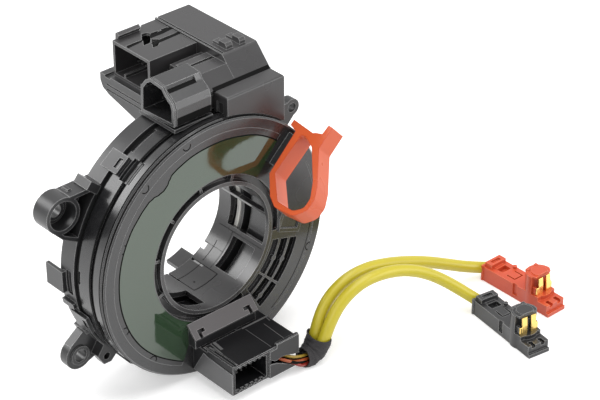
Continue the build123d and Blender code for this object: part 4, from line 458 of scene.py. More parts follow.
class Workbench:
    """Shared ways of making a piece's mesh from named outlines."""

    @staticmethod
    def piece(
        name: str, faces: bmesh.types.BMesh, material: bpy.types.Material, smooth: bool = False
    ) -> bpy.types.Object:
        """Turn a finished bmesh into a dressed object at the origin.

        Args:
            name: The piece's name.
            faces: The mesh, which is freed.
            material: Its material.
            smooth: Whether its faces shade smooth.

        Returns:
            The object, linked to the scene.
        """
        bmesh.ops.remove_doubles(faces, verts=faces.verts, dist=1e-7)
        bmesh.ops.recalc_face_normals(faces, faces=faces.faces)
        for face in faces.faces:
            face.smooth = smooth
        mesh = bpy.data.meshes.new(name)
        faces.to_mesh(mesh)
        faces.free()
        item = linked(name, mesh)
        dress(item, material)
        return item

    @staticmethod
    def slab(faces: bmesh.types.BMesh, loops: list[list[Vector]], depth: Vector) -> None:
        """Add a closed slab with an outer outline and holes.

        Args:
            faces: The mesh that gets it.
            loops: The outer outline and then each hole's, in metres, in one plane.
            depth: How far the slab reaches from that plane.
        """
        near = [[faces.verts.new(point) for point in loop] for loop in loops]
        far = [[faces.verts.new(point + depth) for point in loop] for loop in loops]
        flat_near = [vert for loop in near for vert in loop]
        flat_far = [vert for loop in far for vert in loop]
        for triangle in tessellate_polygon(loops):
            faces.faces.new([flat_near[i] for i in triangle])
            faces.faces.new([flat_far[i] for i in reversed(triangle)])
        for low, high in zip(near, far):
            for i in range(len(low)):
                j = (i + 1) % len(low)
                faces.faces.new([low[i], low[j], high[j], high[i]])

    @staticmethod
    def rounded(corners: list[tuple[float, float]], radii: list[float], steps: int = 5) -> list[tuple[float, float]]:
        """Round the corners of a flat outline.

        Args:
            corners: The outline's corners in millimetres.
            radii: One radius for each corner.
            steps: How many runs each arc has.

        Returns:
            The outline with an arc at each corner.
        """
        outline: list[tuple[float, float]] = []
        for i, corner in enumerate(corners):
            here = Vector(corner)
            back = Vector(corners[i - 1]) - here
            ahead = Vector(corners[(i + 1) % len(corners)]) - here
            half = back.angle(ahead) / 2.0
            reach = min(radii[i] / math.tan(half), back.length * 0.48, ahead.length * 0.48)
            start = here + back.normalized() * reach
            end = here + ahead.normalized() * reach
            for k in range(steps + 1):
                share = k / steps
                point = start * (1.0 - share) ** 2 + here * 2.0 * share * (1.0 - share) + end * share ** 2
                outline.append((point.x, point.y))
        return outline

    @staticmethod
    def edged(item: bpy.types.Object, radius: float, segments: int = 2) -> None:
        """Round a piece's edges with a bevel.

        Args:
            item: The piece.
            radius: The radius in millimetres.
            segments: How many faces the radius has.
        """
        edge = item.modifiers.new("edge", "BEVEL")
        edge.width = radius * MM
        edge.segments = segments
        edge.limit_method = "ANGLE"
        edge.angle_limit = SHARP

    @classmethod
    def plates(
        cls, name: str, slabs: list[tuple[list[Vector], Vector]], material: bpy.types.Material
    ) -> bpy.types.Object:
        """Make one piece from closed slabs without holes.

        Args:
            name: The piece's name.
            slabs: Each slab's outline in metres and how far it reaches from that plane.
            material: Its material.

        Returns:
            The piece.
        """
        mesh = bmesh.new()
        for loop, depth in slabs:
            cls.slab(mesh, [loop], depth)
        return cls.piece(name, mesh, material)

    @classmethod
    def shells(cls, name: str, rows: list[Shell], material: bpy.types.Material) -> bpy.types.Object:
        """Make one piece from closed stretches of round wall.

        Args:
            name: The piece's name.
            rows: Each stretch's inner and outer radius, first and last angle, and rear and front station.
            material: Its material.

        Returns:
            The piece.
        """
        mesh = bmesh.new()
        for inner, outer, start, end, back, front in rows:
            steps = max(1, round((end - start) / 2.0))
            rings = [
                [mesh.verts.new(polar(radius, start + (end - start) * i / steps, station)) for i in range(steps + 1)]
                for radius, station in ((inner, back), (outer, back), (outer, front), (inner, front))
            ]
            for a, b in zip(rings, rings[1:] + rings[:1]):
                for i in range(steps):
                    mesh.faces.new([a[i], a[i + 1], b[i + 1], b[i]])
            mesh.faces.new([ring[0] for ring in rings])
            mesh.faces.new([ring[-1] for ring in reversed(rings)])
        return cls.piece(name, mesh, material)

    @staticmethod
    def hoop(radii: tuple[float, float], stations: tuple[float, float]) -> list[Shell]:
        """Return the three stretches of wall that make a ring round the bore."""
        return [(*radii, start, start + 120.0, *stations) for start in (0.0, 120.0, 240.0)]

    @staticmethod
    def cord(name: str, route: tuple[Point, ...], radius: float, around: int, along: int) -> bpy.types.Object:
        """Make a round cord on a smooth curve.

        Args:
            name: The piece's name.
            route: Control points in millimetres.
            radius: The cord's radius in millimetres.
            around: How finely its section is divided.
            along: How finely each stretch is divided.

        Returns:
            The curve object, linked to the scene.
        """
        curve = bpy.data.curves.new(name, "CURVE")
        curve.dimensions = "3D"
        curve.bevel_depth = radius * MM
        curve.bevel_resolution = around
        curve.resolution_u = along
        curve.use_fill_caps = True
        spline = curve.splines.new("NURBS")
        spline.points.add(len(route) - 1)
        for point, place in zip(spline.points, route):
            point.co = (*metres(*place), 1.0)
        spline.order_u = 3
        spline.use_endpoint_u = True
        return linked(name, curve)


@dataclass
class FilmLabel:
    """The bare green film on the disc's face, on a thin bed, with the dark line along its outer edge."""

    shop: FinishShop
    disc_face: float = 26.0
    inner_r: float = 31.0
    film_thick: float = 0.1
    film_lift: float = 0.01
    bed_rise: float = 0.02
    bed_sink: float = 0.22
    bed_r: tuple[float, float] = (42.5, 49.6)
    line_width: float = 0.54
    line_thick: float = 0.015
    steps: int = 260
    start: float = 49.6
    end: float = 247.4
    outline: tuple[tuple[float, float], ...] = (
        (49.0, 46.6), (62.0, 46.5), (76.5, 46.0), (92.0, 45.9), (104.0, 46.1), (112.4, 45.9), (116.6, 45.7),
        (119.2, 44.7), (121.6, 43.6), (124.4, 43.3), (127.4, 43.9), (130.4, 45.3), (133.6, 46.1), (140.0, 46.5),
        (149.5, 47.0), (163.0, 47.1), (180.0, 46.9), (199.0, 46.8), (219.0, 46.9), (236.0, 46.9), (248.0, 47.4),
    )

    def build(self) -> None:
        """Make the bed, the film and the line."""
        angles = [self.start + (self.end - self.start) * i / self.steps for i in range(self.steps + 1)]
        inner = [(angle, self.inner_r) for angle in angles]
        edge = [(angle, self._reach(angle)) for angle in angles]
        low = self.disc_face + self.bed_rise
        film = self._ring("film_label_sheet", inner, edge, low + self.film_lift, self.film_thick, FILM_GREEN)
        bed_inner = [(angle, self.bed_r[0]) for angle in angles]
        bed_outer = [(angle, self.bed_r[1]) for angle in angles]
        bed = self._ring("film_label_bed", bed_inner, bed_outer, self.disc_face - self.bed_sink,
                         self.bed_sink + self.bed_rise, GLOSS_BLACK)
        beside = [(angle, reach + self.line_width) for angle, reach in edge]
        line = self._ring("film_label_line", edge, beside, low, self.line_thick, LINE_AND_SHADE_BLACK)
        for item in (film, bed, line):
            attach(item, Body.ROTOR.value)
        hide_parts("film_label")
        LOG.info("film label")

    def _reach(self, angle: float) -> float:
        """Find the film's outer radius.

        Args:
            angle: The angle about the bore, in degrees.

        Returns:
            The radius in millimetres.
        """
        for (a, low), (b, high) in zip(self.outline, self.outline[1:]):
            if angle <= b:
                share = (angle - a) / (b - a)
                share = share * share * (3.0 - 2.0 * share)
                return low + (high - low) * share
        return self.outline[-1][1]

    def _ring(
        self, name: str, inner: list[tuple[float, float]], outer: list[tuple[float, float]],
        station: float, thick: float, finish: Finish,
    ) -> bpy.types.Object:
        """Make one closed strip between two rows of angles and radii.

        Args:
            name: The strip's name.
            inner: Angle and radius along its inner edge.
            outer: Angle and radius along its outer edge.
            station: Where its back lies in front of the case.
            thick: Its thickness.
            finish: Its finish.

        Returns:
            The strip.
        """
        mesh = bmesh.new()
        rows = []
        for angle_radius in (inner, outer):
            for level in (station, station + thick):
                rows.append([mesh.verts.new(polar(radius, angle, level)) for angle, radius in angle_radius])
        inner_low, inner_high, outer_low, outer_high = rows
        for a, b in (
            (inner_high, outer_high), (outer_high, outer_low), (outer_low, inner_low), (inner_low, inner_high),
        ):
            for i in range(len(a) - 1):
                mesh.faces.new([a[i], b[i], b[i + 1], a[i + 1]])
        for i in (0, -1):
            mesh.faces.new([inner_low[i], inner_high[i], outer_high[i], outer_low[i]])
        return Workbench.piece(name, mesh, self.shop.material(finish))


@dataclass
class DiscMarks:
    """The half-round lines that the mould's pins leave along the disc's rim."""

    shop: FinishShop
    station: float = 26.0
    radius: float = 1.7
    width: float = 0.46
    rise: float = 0.03
    places: tuple[tuple[float, float], ...] = (
        (104.8, 51.9), (129.6, 52.0), (157.2, 48.1), (201.1, 48.6), (227.9, 49.2), (-22.4, 50.6),
    )

    def build(self) -> None:
        """Make every mark from one arc with a geometry node tree."""
        carrier = bmesh.new()
        for angle, reach in self.places:
            carrier.verts.new(polar(reach, angle, self.station + self.rise / 2.0))
        mesh = bpy.data.meshes.new("disc_marks_places")
        carrier.to_mesh(mesh)
        carrier.free()
        turns = mesh.attributes.new("turn", "FLOAT", "POINT")
        for i, (angle, _) in enumerate(self.places):
            turns.data[i].value = math.radians(-angle)
        item = linked("disc_marks", mesh)
        tree = self._tree()
        grown = item.modifiers.new("marks", "NODES")
        grown.node_group = tree
        sizes = {"Radius": self.radius * MM, "Width": self.width * MM, "Rise": self.rise * MM}
        for socket in tree.interface.items_tree:
            if socket.item_type == "SOCKET" and socket.in_out == "INPUT" and socket.name in sizes:
                grown[socket.identifier] = sizes[socket.name]
        flat = applied(item)
        item.modifiers.remove(grown)
        item.data = flat
        dress(item, self.shop.material(LINE_AND_SHADE_BLACK))
        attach(item, Body.ROTOR.value)
        LOG.info("disc marks")

    def _tree(self) -> bpy.types.NodeTree:
        """Build the tree that sweeps a flat strip along a half circle at each place.

        Returns:
            The geometry node tree.
        """
        net = Net.group("half_round_marks", "GeometryNodeTree", (
            ("Geometry", "Geometry"), ("Radius", "Float"), ("Width", "Float"), ("Rise", "Float"),
        ), (("Geometry", "Geometry"),))
        given = net.add("NodeGroupInput").outputs
        arc = net.add("GeometryNodeCurveArc", {
            "Resolution": 14, "Radius": given["Radius"], "Start Angle": math.radians(90.0),
            "Sweep Angle": math.radians(180.0),
        })
        strip = net.add("GeometryNodeCurvePrimitiveQuadrilateral", {
            "Width": given["Width"], "Height": given["Rise"],
        })
        sweep = net.add("GeometryNodeCurveToMesh", {
            "Curve": arc.outputs["Curve"], "Profile Curve": strip.outputs["Curve"], "Fill Caps": True,
        })
        upright = net.add("GeometryNodeTransform", {
            "Geometry": sweep.outputs["Mesh"], "Rotation": (math.radians(90.0), 0.0, 0.0),
        })
        turn = net.add("GeometryNodeInputNamedAttribute", {"Name": "turn"}, data_type="FLOAT")
        spin = net.add("ShaderNodeCombineXYZ", {"Y": turn.outputs["Attribute"]})
        place = net.add("GeometryNodeInstanceOnPoints", {
            "Points": given["Geometry"], "Instance": upright.outputs["Geometry"],
            "Rotation": spin.outputs["Vector"],
        })
        real = net.add("GeometryNodeRealizeInstances", {"Geometry": place.outputs["Instances"]})
        finish = net.add("GeometryNodeSetMaterial", {
            "Geometry": real.outputs["Geometry"], "Material": self.shop.material(LINE_AND_SHADE_BLACK),
        })
        net.add("NodeGroupOutput", {"Geometry": finish.outputs["Geometry"]})
        return net.tree


@dataclass
class LockClip:
    """The orange transport clip: a bent loop with a gripping tail, and the pin that holds the rotor."""

    shop: FinishShop
    disc_face: float = 26.0
    angle: float = 43.0
    side_back: float = -3.0
    width: float = 8.0
    edge: float = 0.35
    pin_at: float = 44.0
    pin_r: float = 1.4
    pin_back: float = 0.9
    pin_aside: float = 1.0
    pin_length: float = 4.8
    pin_sides: int = 24
    outer: tuple[tuple[float, float, float], ...] = (
        (57.0, -0.6, 0.3), (56.0, 11.0, 0.6), (56.6, 12.0, 0.6), (57.4, 15.0, 0.4), (61.4, 15.3, 0.4),
        (61.4, 17.6, 0.5), (52.0, 17.6, 1.4), (39.4, 26.9, 5.0), (34.2, 29.4, 5.0), (29.4, 29.0, 4.2),
        (25.2, 24.9, 4.2), (24.4, 15.0, 3.5), (27.2, 10.2, 1.6), (34.5, 3.8, 1.6), (53.4, 3.2, 0.5),
        (54.6, -0.6, 0.3),
    )
    inner: tuple[tuple[float, float, float], ...] = (
        (53.2, 6.6, 0.8), (35.7, 6.0, 1.4), (26.9, 14.7, 2.6), (26.8, 23.4, 3.4), (29.8, 27.2, 3.4),
        (34.2, 27.2, 4.0), (40.1, 23.8, 4.0), (51.1, 14.2, 2.0), (53.5, 9.0, 1.2),
    )

    def build(self) -> None:
        """Make the loop and its pin as one piece."""
        turn = math.radians(self.angle)
        radial = Vector((math.cos(turn), 0.0, math.sin(turn)))
        across = Vector((math.sin(turn), 0.0, -math.cos(turn)))
        base = Vector((0.0, -self.disc_face, 0.0)) + across * self.side_back

        def placed(row: tuple[tuple[float, float, float], ...]) -> list[Vector]:
            """Round an outline's corners.

            Args:
                row: The outline's radii and stations, and each corner's radius.

            Returns:
                The rounded outline as points in metres.
            """
            flat = Workbench.rounded([(a, b) for a, b, _ in row], [c for _, _, c in row])
            return [(base + radial * a + Vector((0.0, -b, 0.0))) * MM for a, b in flat]

        mesh = bmesh.new()
        Workbench.slab(mesh, [placed(self.outer), placed(self.inner)], across * self.width * MM)
        clip = Workbench.piece("transport_clip", mesh, self.shop.material(CLIP_ORANGE))
        Workbench.edged(clip, self.edge)
        centre = polar(self.pin_at, self.angle, self.disc_face - self.pin_back) + across * self.pin_aside * MM
        ring = [
            centre + (radial * math.cos(a) + across * math.sin(a)) * self.pin_r * MM
            for a in (2.0 * math.pi * i / self.pin_sides for i in range(self.pin_sides))
        ]
        pin = Workbench.plates(
            "transport_clip_pin", [(ring, metres(0.0, -self.pin_length, 0.0))], self.shop.material(CLIP_ORANGE))
        for item in (clip, pin):
            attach(item, Body.CLIP.value)
        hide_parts("lock_clip")
        LOG.info("transport clip")


@dataclass
class BridgeCover:
    """The grey cover that slopes from the disc's face down to the wheel-side socket, with two angled notches."""

    shop: FinishShop
    left: float = -16.2
    right: float = 15.4
    top: float = -28.2
    low: float = -37.5
    disc_face: float = 26.0
    slope_station: float = 30.8
    slope_low: float = -33.2
    plate_thick: float = 0.8
    block_inset: float = 0.6
    block_back: float = 0.3
    block_drops: tuple[float, float] = (0.9, 0.7)
    block_radius: float = 0.25
    notch_inset: float = 2.5
    notch_deep: float = 3.4
    notch_head: tuple[float, float] = (3.4, 1.5)
    notch_width: float = 1.6

    def build(self) -> None:
        """Make the black block, the sloped grey plate on it and the plate's two notches."""
        front = self.slope_station - self.block_back
        corners = [
            (self.disc_face, self.top - self.block_drops[0]), (front, self.slope_low - self.block_drops[1]),
            (front, self.low), (self.disc_face, self.low),
        ]
        side = [metres(self.left + self.block_inset, -station, height) for station, height in corners]
        across = metres(self.right - self.left - 2.0 * self.block_inset, 0.0, 0.0)
        block = Workbench.plates("bridge_block", [(side, across)], self.shop.material(SOCKET_BLACK))
        Workbench.edged(block, self.block_radius)
        down = Vector((0.0, -(self.slope_station - self.disc_face), self.slope_low - self.top))
        run = down.length
        down.normalize()
        lift = Vector((0.0, down.z, -down.y)) * self.plate_thick * MM
        crest = Vector((0.0, -self.disc_face, self.top))
        loop = [(crest + Vector((self.left + a, 0.0, 0.0)) + down * b) * MM for a, b in self._outline(run)]
        plate = Workbench.plates("bridge_slope", [(loop, lift)], self.shop.material(BRIDGE_GREY))
        for item in (block, plate):
            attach(item, Body.ROTOR.value)
        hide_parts("bridge_cover")
        LOG.info("bridge cover")

    def _outline(self, run: float) -> list[tuple[float, float]]:
        """Return the sloped plate's outline.

        Args:
            run: The slope's length in millimetres.

        Returns:
            Points across the plate and down its slope.
        """
        wide, head = self.right - self.left, run - self.notch_deep
        foot, near = head + self.notch_head[1], self.notch_inset
        notch = [
            (near, run), (near, head), (near + self.notch_head[0], head), (near + self.notch_head[0], foot),
            (near + self.notch_width, foot), (near + self.notch_width, run),
        ]
        mirrored = [(wide - a, b) for a, b in notch]
        return [(0.0, 0.0), (wide, 0.0), (wide, run), *mirrored, *reversed(notch), (0.0, run)]


@dataclass
class WheelSocketTrim:
    """The wheel-side socket's lighter side sheet of painted light, its roof skin and ridges, and the front and lip of
    the wire guide beside it.
    """

    shop: FinishShop
    left: float = -13.4
    front: float = 50.0
    roof: float = -37.7
    skin: tuple[tuple[float, float], ...] = (
        (-12.6, 31.4), (19.6, 31.4), (19.6, 49.6), (-11.8, 49.6), (-12.6, 48.8),
    )
    ridges: tuple[tuple[tuple[float, float], tuple[float, float], float], ...] = (
        ((6.5, 31.9), (19.4, 32.1), 0.75), ((18.6, 32.2), (18.2, 35.0), 0.4), ((15.0, 35.1), (14.4, 48.8), 0.22),
        ((7.2, 33.2), (7.0, 48.6), 0.16), ((-9.2, 31.6), (-10.0, 39.6), 0.45), ((-11.9, 31.8), (-11.9, 49.2), 0.35),
        ((-7.6, 31.8), (-8.2, 37.4), 1.3), ((-10.9, 33.0), (-10.9, 36.4), 0.8),
    )
    # Painted light: outline of the grey sheet on the socket's left side, as stations and heights
    lit_side_sheet: tuple[tuple[float, float], ...] = (
        (26.2, -49.9), (32.6, -38.9), (34.8, -39.4), (49.9, -40.1), (49.9, -49.9),
    )
    plate: tuple[tuple[float, float], ...] = (
        (4.8, -37.9), (8.4, -37.9), (8.6, -36.2), (19.4, -36.2), (19.9, -36.8), (19.9, -45.2), (16.6, -44.5),
        (13.8, -43.5), (11.0, -42.9), (8.6, -43.5), (7.1, -43.3), (4.8, -41.6),
    )
    lip: tuple[tuple[float, float], ...] = (
        (4.8, -44.0), (6.2, -44.2), (8.7, -44.9), (12.2, -46.7), (15.4, -48.6), (17.8, -50.5), (4.8, -50.5),
    )

    lit_side_thick: float = 0.3
    front_thick: float = 0.4
    skin_thick: float = 0.35
    ridge_foot: float = 0.3
    ridge_thick: float = 0.14
    edge: float = 0.12

    def build(self) -> None:
        """Make the painted-light side sheet, the guide's front, the roof's skin and its ridges."""
        side = [metres(self.left - self.lit_side_thick, -station, height) for station, height in self.lit_side_sheet]
        top = [metres(x, -station, self.roof) for x, station in self.skin]
        fronts = [
            ([metres(x, -self.front - self.front_thick, z) for x, z in outline], metres(0.0, self.front_thick, 0.0))
            for outline in (self.plate, self.lip)
        ]
        rows = (
            ("wheel_socket_lit_side", [(side, metres(self.lit_side_thick, 0.0, 0.0))], LIT_SIDE_GREY),
            ("wire_guide_front", fronts, GUIDE_BLACK),
            ("wheel_roof_skin", [(top, metres(0.0, 0.0, self.skin_thick))], SOCKET_BLACK),
            ("wheel_roof_ridges", [self._ridge(*row) for row in self.ridges], RIDGE_GREY),
        )
        made = [Workbench.plates(name, slabs, self.shop.material(finish)) for name, slabs, finish in rows]
        for item in made:
            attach(item, Body.ROTOR.value)
        for item in made[:-1]:
            Workbench.edged(item, self.edge, 1)
        LOG.info("wheel socket trim")

    def _ridge(
        self, start: tuple[float, float], end: tuple[float, float], width: float
    ) -> tuple[list[Vector], Vector]:
        """Return one ridge of the roof.

        Args:
            start: Its first end, as a place to the right and a station.
            end: Its other end.
            width: Its width in millimetres.

        Returns:
            Its outline in metres and how far it rises.
        """
        a, b = Vector((start[0], -start[1], 0.0)), Vector((end[0], -end[1], 0.0))
        along = (b - a).normalized()
        half = Vector((-along.y, along.x, 0.0)) * width / 2.0
        height = self.roof + self.ridge_foot
        loop = [metres(point.x, point.y, height) for point in (a - half, b - half, b + half, a + half)]
        return loop, metres(0.0, 0.0, self.ridge_thick)


@dataclass
class HubSleeve:
    """The sleeve through the bore with its large windows, a pale strip painted as the highlight on the rib across one,
    and the finger's lines.
    """

    shop: FinishShop
    node: bpy.types.Object
    shading: bpy.types.NodeTree
    bore_r: float = 26.0
    outer_r: float = 28.5
    proud: float = 0.02
    tool_reach: float = 0.8
    rib_sink: float = 0.06
    line_sink: float = 0.03
    # Where the rib's painted highlight lies: first and last angle, rear and front station
    rib: tuple[float, float, float, float] = (7.1, 9.1, -3.8, 16.0)
    windows: tuple[tuple[float, float, float, float], ...] = (
        (-22.0, 6.7, 3.0, 24.0), (9.5, 25.0, 3.0, 24.0), (-129.0, -97.5, 10.0, 21.4),
    )
    lines: tuple[tuple[float, float, float, float], ...] = (
        (-92.4, -91.8, -3.6, 12.2), (-65.4, -64.8, -3.6, 12.2), (-92.0, -65.0, 11.9, 12.3),
        (-92.0, -65.0, 1.8, 2.1), (-84.8, -83.2, 7.4, 8.1), (-62.0, -40.0, 1.4, 1.7), (-46.4, -46.0, -3.6, 7.0),
        (-63.6, -26.0, 7.0, 7.25), (-26.2, -25.7, -1.0, 24.6),
    )

    def build(self) -> None:
        """Cut the windows in a copy of the sleeve and add the rib's painted highlight and the lines."""
        sleeve = self._cut()
        dress(sleeve, self.shop.material(HUB_BLACK))
        sleeve.modifiers.new("round_walls", "NODES").node_group = self.shading
        face = self.bore_r + self.proud
        # Painted highlight: a pale strip on the rib
        rib = Workbench.shells(
            "hub_rib_highlight", [(self.bore_r - self.rib_sink, face, *self.rib)], self.shop.material(RIB_HIGHLIGHT_GREY))
        rows = [(self.bore_r - self.line_sink, face, *line) for line in self.lines]
        lines = Workbench.shells("hub_finger_lines", rows, self.shop.material(LINE_AND_SHADE_BLACK))
        for item in (sleeve, rib, lines):
            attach(item, Body.ROTOR.value)
        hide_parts("rotor_hub")
        LOG.info("hub sleeve")

    def _cut(self) -> bpy.types.Object:
        """Cut the windows out of a merged copy of the sleeve.

        Returns:
            The sleeve with its windows.
        """
        mesh = bmesh.new()
        mesh.from_mesh(self.node.data)
        bmesh.ops.remove_doubles(mesh, verts=mesh.verts, dist=JOIN)
        data = bpy.data.meshes.new("hub_sleeve")
        mesh.to_mesh(data)
        mesh.free()
        sleeve = linked("hub_sleeve", data)
        rows = [(self.bore_r - self.tool_reach, self.outer_r, *window) for window in self.windows]
        tool = Workbench.shells("hub_window_tool", rows, self.shop.material(LINE_AND_SHADE_BLACK))
        cut = sleeve.modifiers.new("windows", "BOOLEAN")
        cut.operation = "DIFFERENCE"
        cut.solver = "EXACT"
        cut.object = tool
        sleeve.data = applied(sleeve)
        sleeve.modifiers.remove(cut)
        bpy.data.objects.remove(tool, do_unlink=True)
        return sleeve


@dataclass
class VentShade:
    """A black plate close behind the disc's vent slots that paints their shade, the disc's seam and a black ring that
    paints the shade on its rim.
    """

    shop: FinishShop
    # Painted shade: the black plate that darkens the vent slots' depth
    plate: Shell = (32.4, 43.0, -63.0, -13.0, 24.2, 24.45)
    seam: Shell = (47.96, 48.24, -56.0, -6.0, 25.98, 26.04)
    # Painted shade: a black ring on the disc's side wall, its radii and stations
    rim_r: tuple[float, float] = (53.95, 54.03)
    rim_stations: tuple[float, float] = (24.52, 25.35)

    def build(self) -> None:
        """Make the painted-shade plate, the seam and the rim's painted shade."""
        rows = {
            "vent_shade": [self.plate], "disc_seam": [self.seam],
            "disc_rim_shade": Workbench.hoop(self.rim_r, self.rim_stations),
        }
        for name, shells in rows.items():
            item = Workbench.shells(name, shells, self.shop.material(LINE_AND_SHADE_BLACK))
            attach(item, Body.ROTOR.value)
        LOG.info("vent shade")


@dataclass
class JointShade:
    """Painted shade: black lines along the case's joints, the cover's foot and the sockets' roofs, and a black sheet
    on the small socket's lower side.
    """

    shop: FinishShop
    # Painted shade: black bands in the case's joints and grooves, their radii and each band's stations
    ring_r: tuple[float, float] = (53.95, 54.03)
    rings: tuple[tuple[float, float], ...] = ((9.55, 10.3), (16.7, 17.65), (18.75, 19.1), (22.6, 23.2))
    base_top: float = 54.5
    # Painted shade: black strip along the terminal cover's slope foot, as a profile and its reach across
    foot: tuple[tuple[float, float], ...] = (
        (-17.3, 7.34), (-16.5, 7.34), (-15.64, 8.06), (-15.5, 7.9), (-16.35, 7.1), (-17.3, 7.2),
    )
    cover_foot_shade_reach: tuple[float, float] = (7.7, 35.2)
    # Painted shade: black strip along the front edge of the socket's roof
    roof_edge_shade: tuple[tuple[float, float], ...] = ((-15.35, 14.96), (-17.05, 14.22), (-17.0, 14.1), (-15.3, 14.8))
    roof_edge_shade_reach: tuple[float, float] = (-13.5, -0.5)
    # Painted shade: black sheet on the small socket's lower front side
    socket_side_shade: tuple[tuple[float, float], ...] = ((-21.0, 5.4), (-21.15, 5.4), (-21.06, 2.2), (-20.9, 2.2))
    socket_side_shade_reach: tuple[float, float] = (-13.4, 2.5)
    # Painted shade: black patches in the roof's slots, at the roof's height
    slot_shade_height: float = 69.3
    slot_shade_thick: float = 0.13
    slots: tuple[tuple[tuple[float, float], ...], ...] = (
        ((5.1, 16.9), (19.4, 17.2), (18.9, 15.6), (7.8, 15.1), (4.7, 14.6)),
        ((-3.7, 20.5), (3.8, 21.0), (3.2, 20.0), (-4.1, 19.3)),
        ((8.1, 22.0), (18.9, 22.4), (18.2, 20.6), (13.3, 20.0), (7.5, 20.1)),
    )

    def build(self) -> None:
        """Make the painted-shade rings and lines."""
        black = self.shop.material(LINE_AND_SHADE_BLACK)
        rows = [row for stations in self.rings for row in Workbench.hoop(self.ring_r, stations)]
        rings = Workbench.shells("joint_shade_rings", rows, black)
        slabs = [
            ([metres(left, y, self.base_top + z) for y, z in profile], metres(right - left, 0.0, 0.0))
            for profile, (left, right) in (
                (self.foot, self.cover_foot_shade_reach), (self.roof_edge_shade, self.roof_edge_shade_reach), (self.socket_side_shade, self.socket_side_shade_reach))
        ]
        slabs += [
            ([metres(x, y, self.slot_shade_height) for x, y in outline], metres(0.0, 0.0, self.slot_shade_thick))
            for outline in self.slots
        ]
        lines = Workbench.plates("joint_shade_lines", slabs, black)
        for item in (rings, lines):
            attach(item, Body.STATOR.value)
        LOG.info("joint shade")


@dataclass
class PlugTrim:
    """The gold springs, the crown and the posts of one airbag plug."""

    shop: FinishShop
    name: str
    node: str
    origin: Point
    along: tuple[float, float]
    finish: Finish
    barrel_at: float = 27.0
    barrel_r: float = 5.5
    barrel_top: float = 15.0
    spring_side: float = 2.2
    spring_width: float = 2.5
    spring_edge: float = 0.12
    crown_edge: float = 0.2
    spring: tuple[tuple[float, float], ...] = (
        (29.2, 6.3), (30.5, 6.3), (30.5, 10.6), (30.1, 14.3), (29.5, 14.3), (29.8, 10.6), (29.6, 7.2), (29.2, 7.0),
    )
    spring_feet: tuple[tuple[Point, Point], ...] = (
        ((29.7, -4.4, 6.3), (30.4, -3.3, 10.2)), ((29.7, 3.3, 6.3), (30.4, 4.4, 10.2)),
    )
    posts: tuple[tuple[Point, Point], ...] = (
        ((27.9, -0.75, 6.8), (29.3, 0.75, 12.6)), ((28.0, -4.6, 6.8), (29.6, -3.6, 10.2)),
        ((28.0, 3.6, 6.8), (29.6, 4.6, 10.2)),
    )
    caps: tuple[tuple[float, float, float], ...] = ((0.5, 14.4, 15.2), (2.0, 15.1, 15.7))
    cap_front: float = 2.3
    cap_sides: int = 24
    nub_angles: tuple[float, float] = (150.0, 215.0)
    nub_inset: float = 0.8
    nub_half: float = 0.75
    nub_reach: tuple[float, float] = (-0.6, 0.7)

    def build(self) -> list[bpy.types.Object]:
        """Make the springs and the crown.

        Returns:
            Both pieces.
        """
        broad = self._at(0.0, self.spring_width, 0.0) - self._at(0.0, 0.0, 0.0)
        gold = [self._block(*corners) for corners in self.spring_feet]
        for side in (-1.0, 1.0):
            low = side * self.spring_side - self.spring_width / 2.0
            gold.append(([self._at(a, low, c) for a, c in self.spring], broad))
        springs = Workbench.plates(f"{self.name}_springs", gold, self.shop.material(CONTACT_GOLD))
        Workbench.edged(springs, self.spring_edge, 1)
        body = [self._block(*corners) for corners in self.posts]
        turns = [2.0 * math.pi * i / self.cap_sides for i in range(self.cap_sides)]
        for inset, low, high in self.caps:
            reach = self.barrel_r - inset
            cap = [
                self._at(self.barrel_at + min(reach * math.cos(t), self.cap_front), reach * math.sin(t), low)
                for t in turns
            ]
            body.append((cap, metres(0.0, 0.0, high - low)))
        for turn in (math.radians(angle) for angle in self.nub_angles):
            a = self.barrel_at + (self.barrel_r - self.nub_inset) * math.cos(turn)
            b = (self.barrel_r - self.nub_inset) * math.sin(turn)
            low, high = (self.barrel_top + reach for reach in self.nub_reach)
            body.append(self._block(
                (a - self.nub_half, b - self.nub_half, low), (a + self.nub_half, b + self.nub_half, high)))
        crown = Workbench.plates(f"{self.name}_crown", body, self.shop.material(self.finish))
        Workbench.edged(crown, self.crown_edge)
        for item in (springs, crown):
            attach(item, Body.ROTOR.value)
        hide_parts(self.node)
        return [springs, crown]

    def _at(self, a: float, b: float, c: float) -> Vector:
        """Return a point of the plug.

        Args:
            a: How far it lies along the plug, in millimetres.
            b: How far it lies across the plug.
            c: How far it lies above the plug's underside.

        Returns:
            The point in metres.
        """
        length = math.hypot(*self.along)
        ax, ay = (part / length for part in self.along)
        ox, oy, oz = self.origin
        return metres(ox + ax * a - ay * b, oy + ay * a + ax * b, oz + c)

    def _block(self, low: Point, high: Point) -> tuple[list[Vector], Vector]:
        """Return a block between two corners measured on the plug.

        Args:
            low: Its nearest, lowest corner.
            high: The corner opposite.

        Returns:
            Its outline in metres and how far it rises.
        """
        corners = ((low[0], low[1]), (high[0], low[1]), (high[0], high[1]), (low[0], high[1]))
        return [self._at(a, b, low[2]) for a, b in corners], metres(0.0, 0.0, high[2] - low[2])


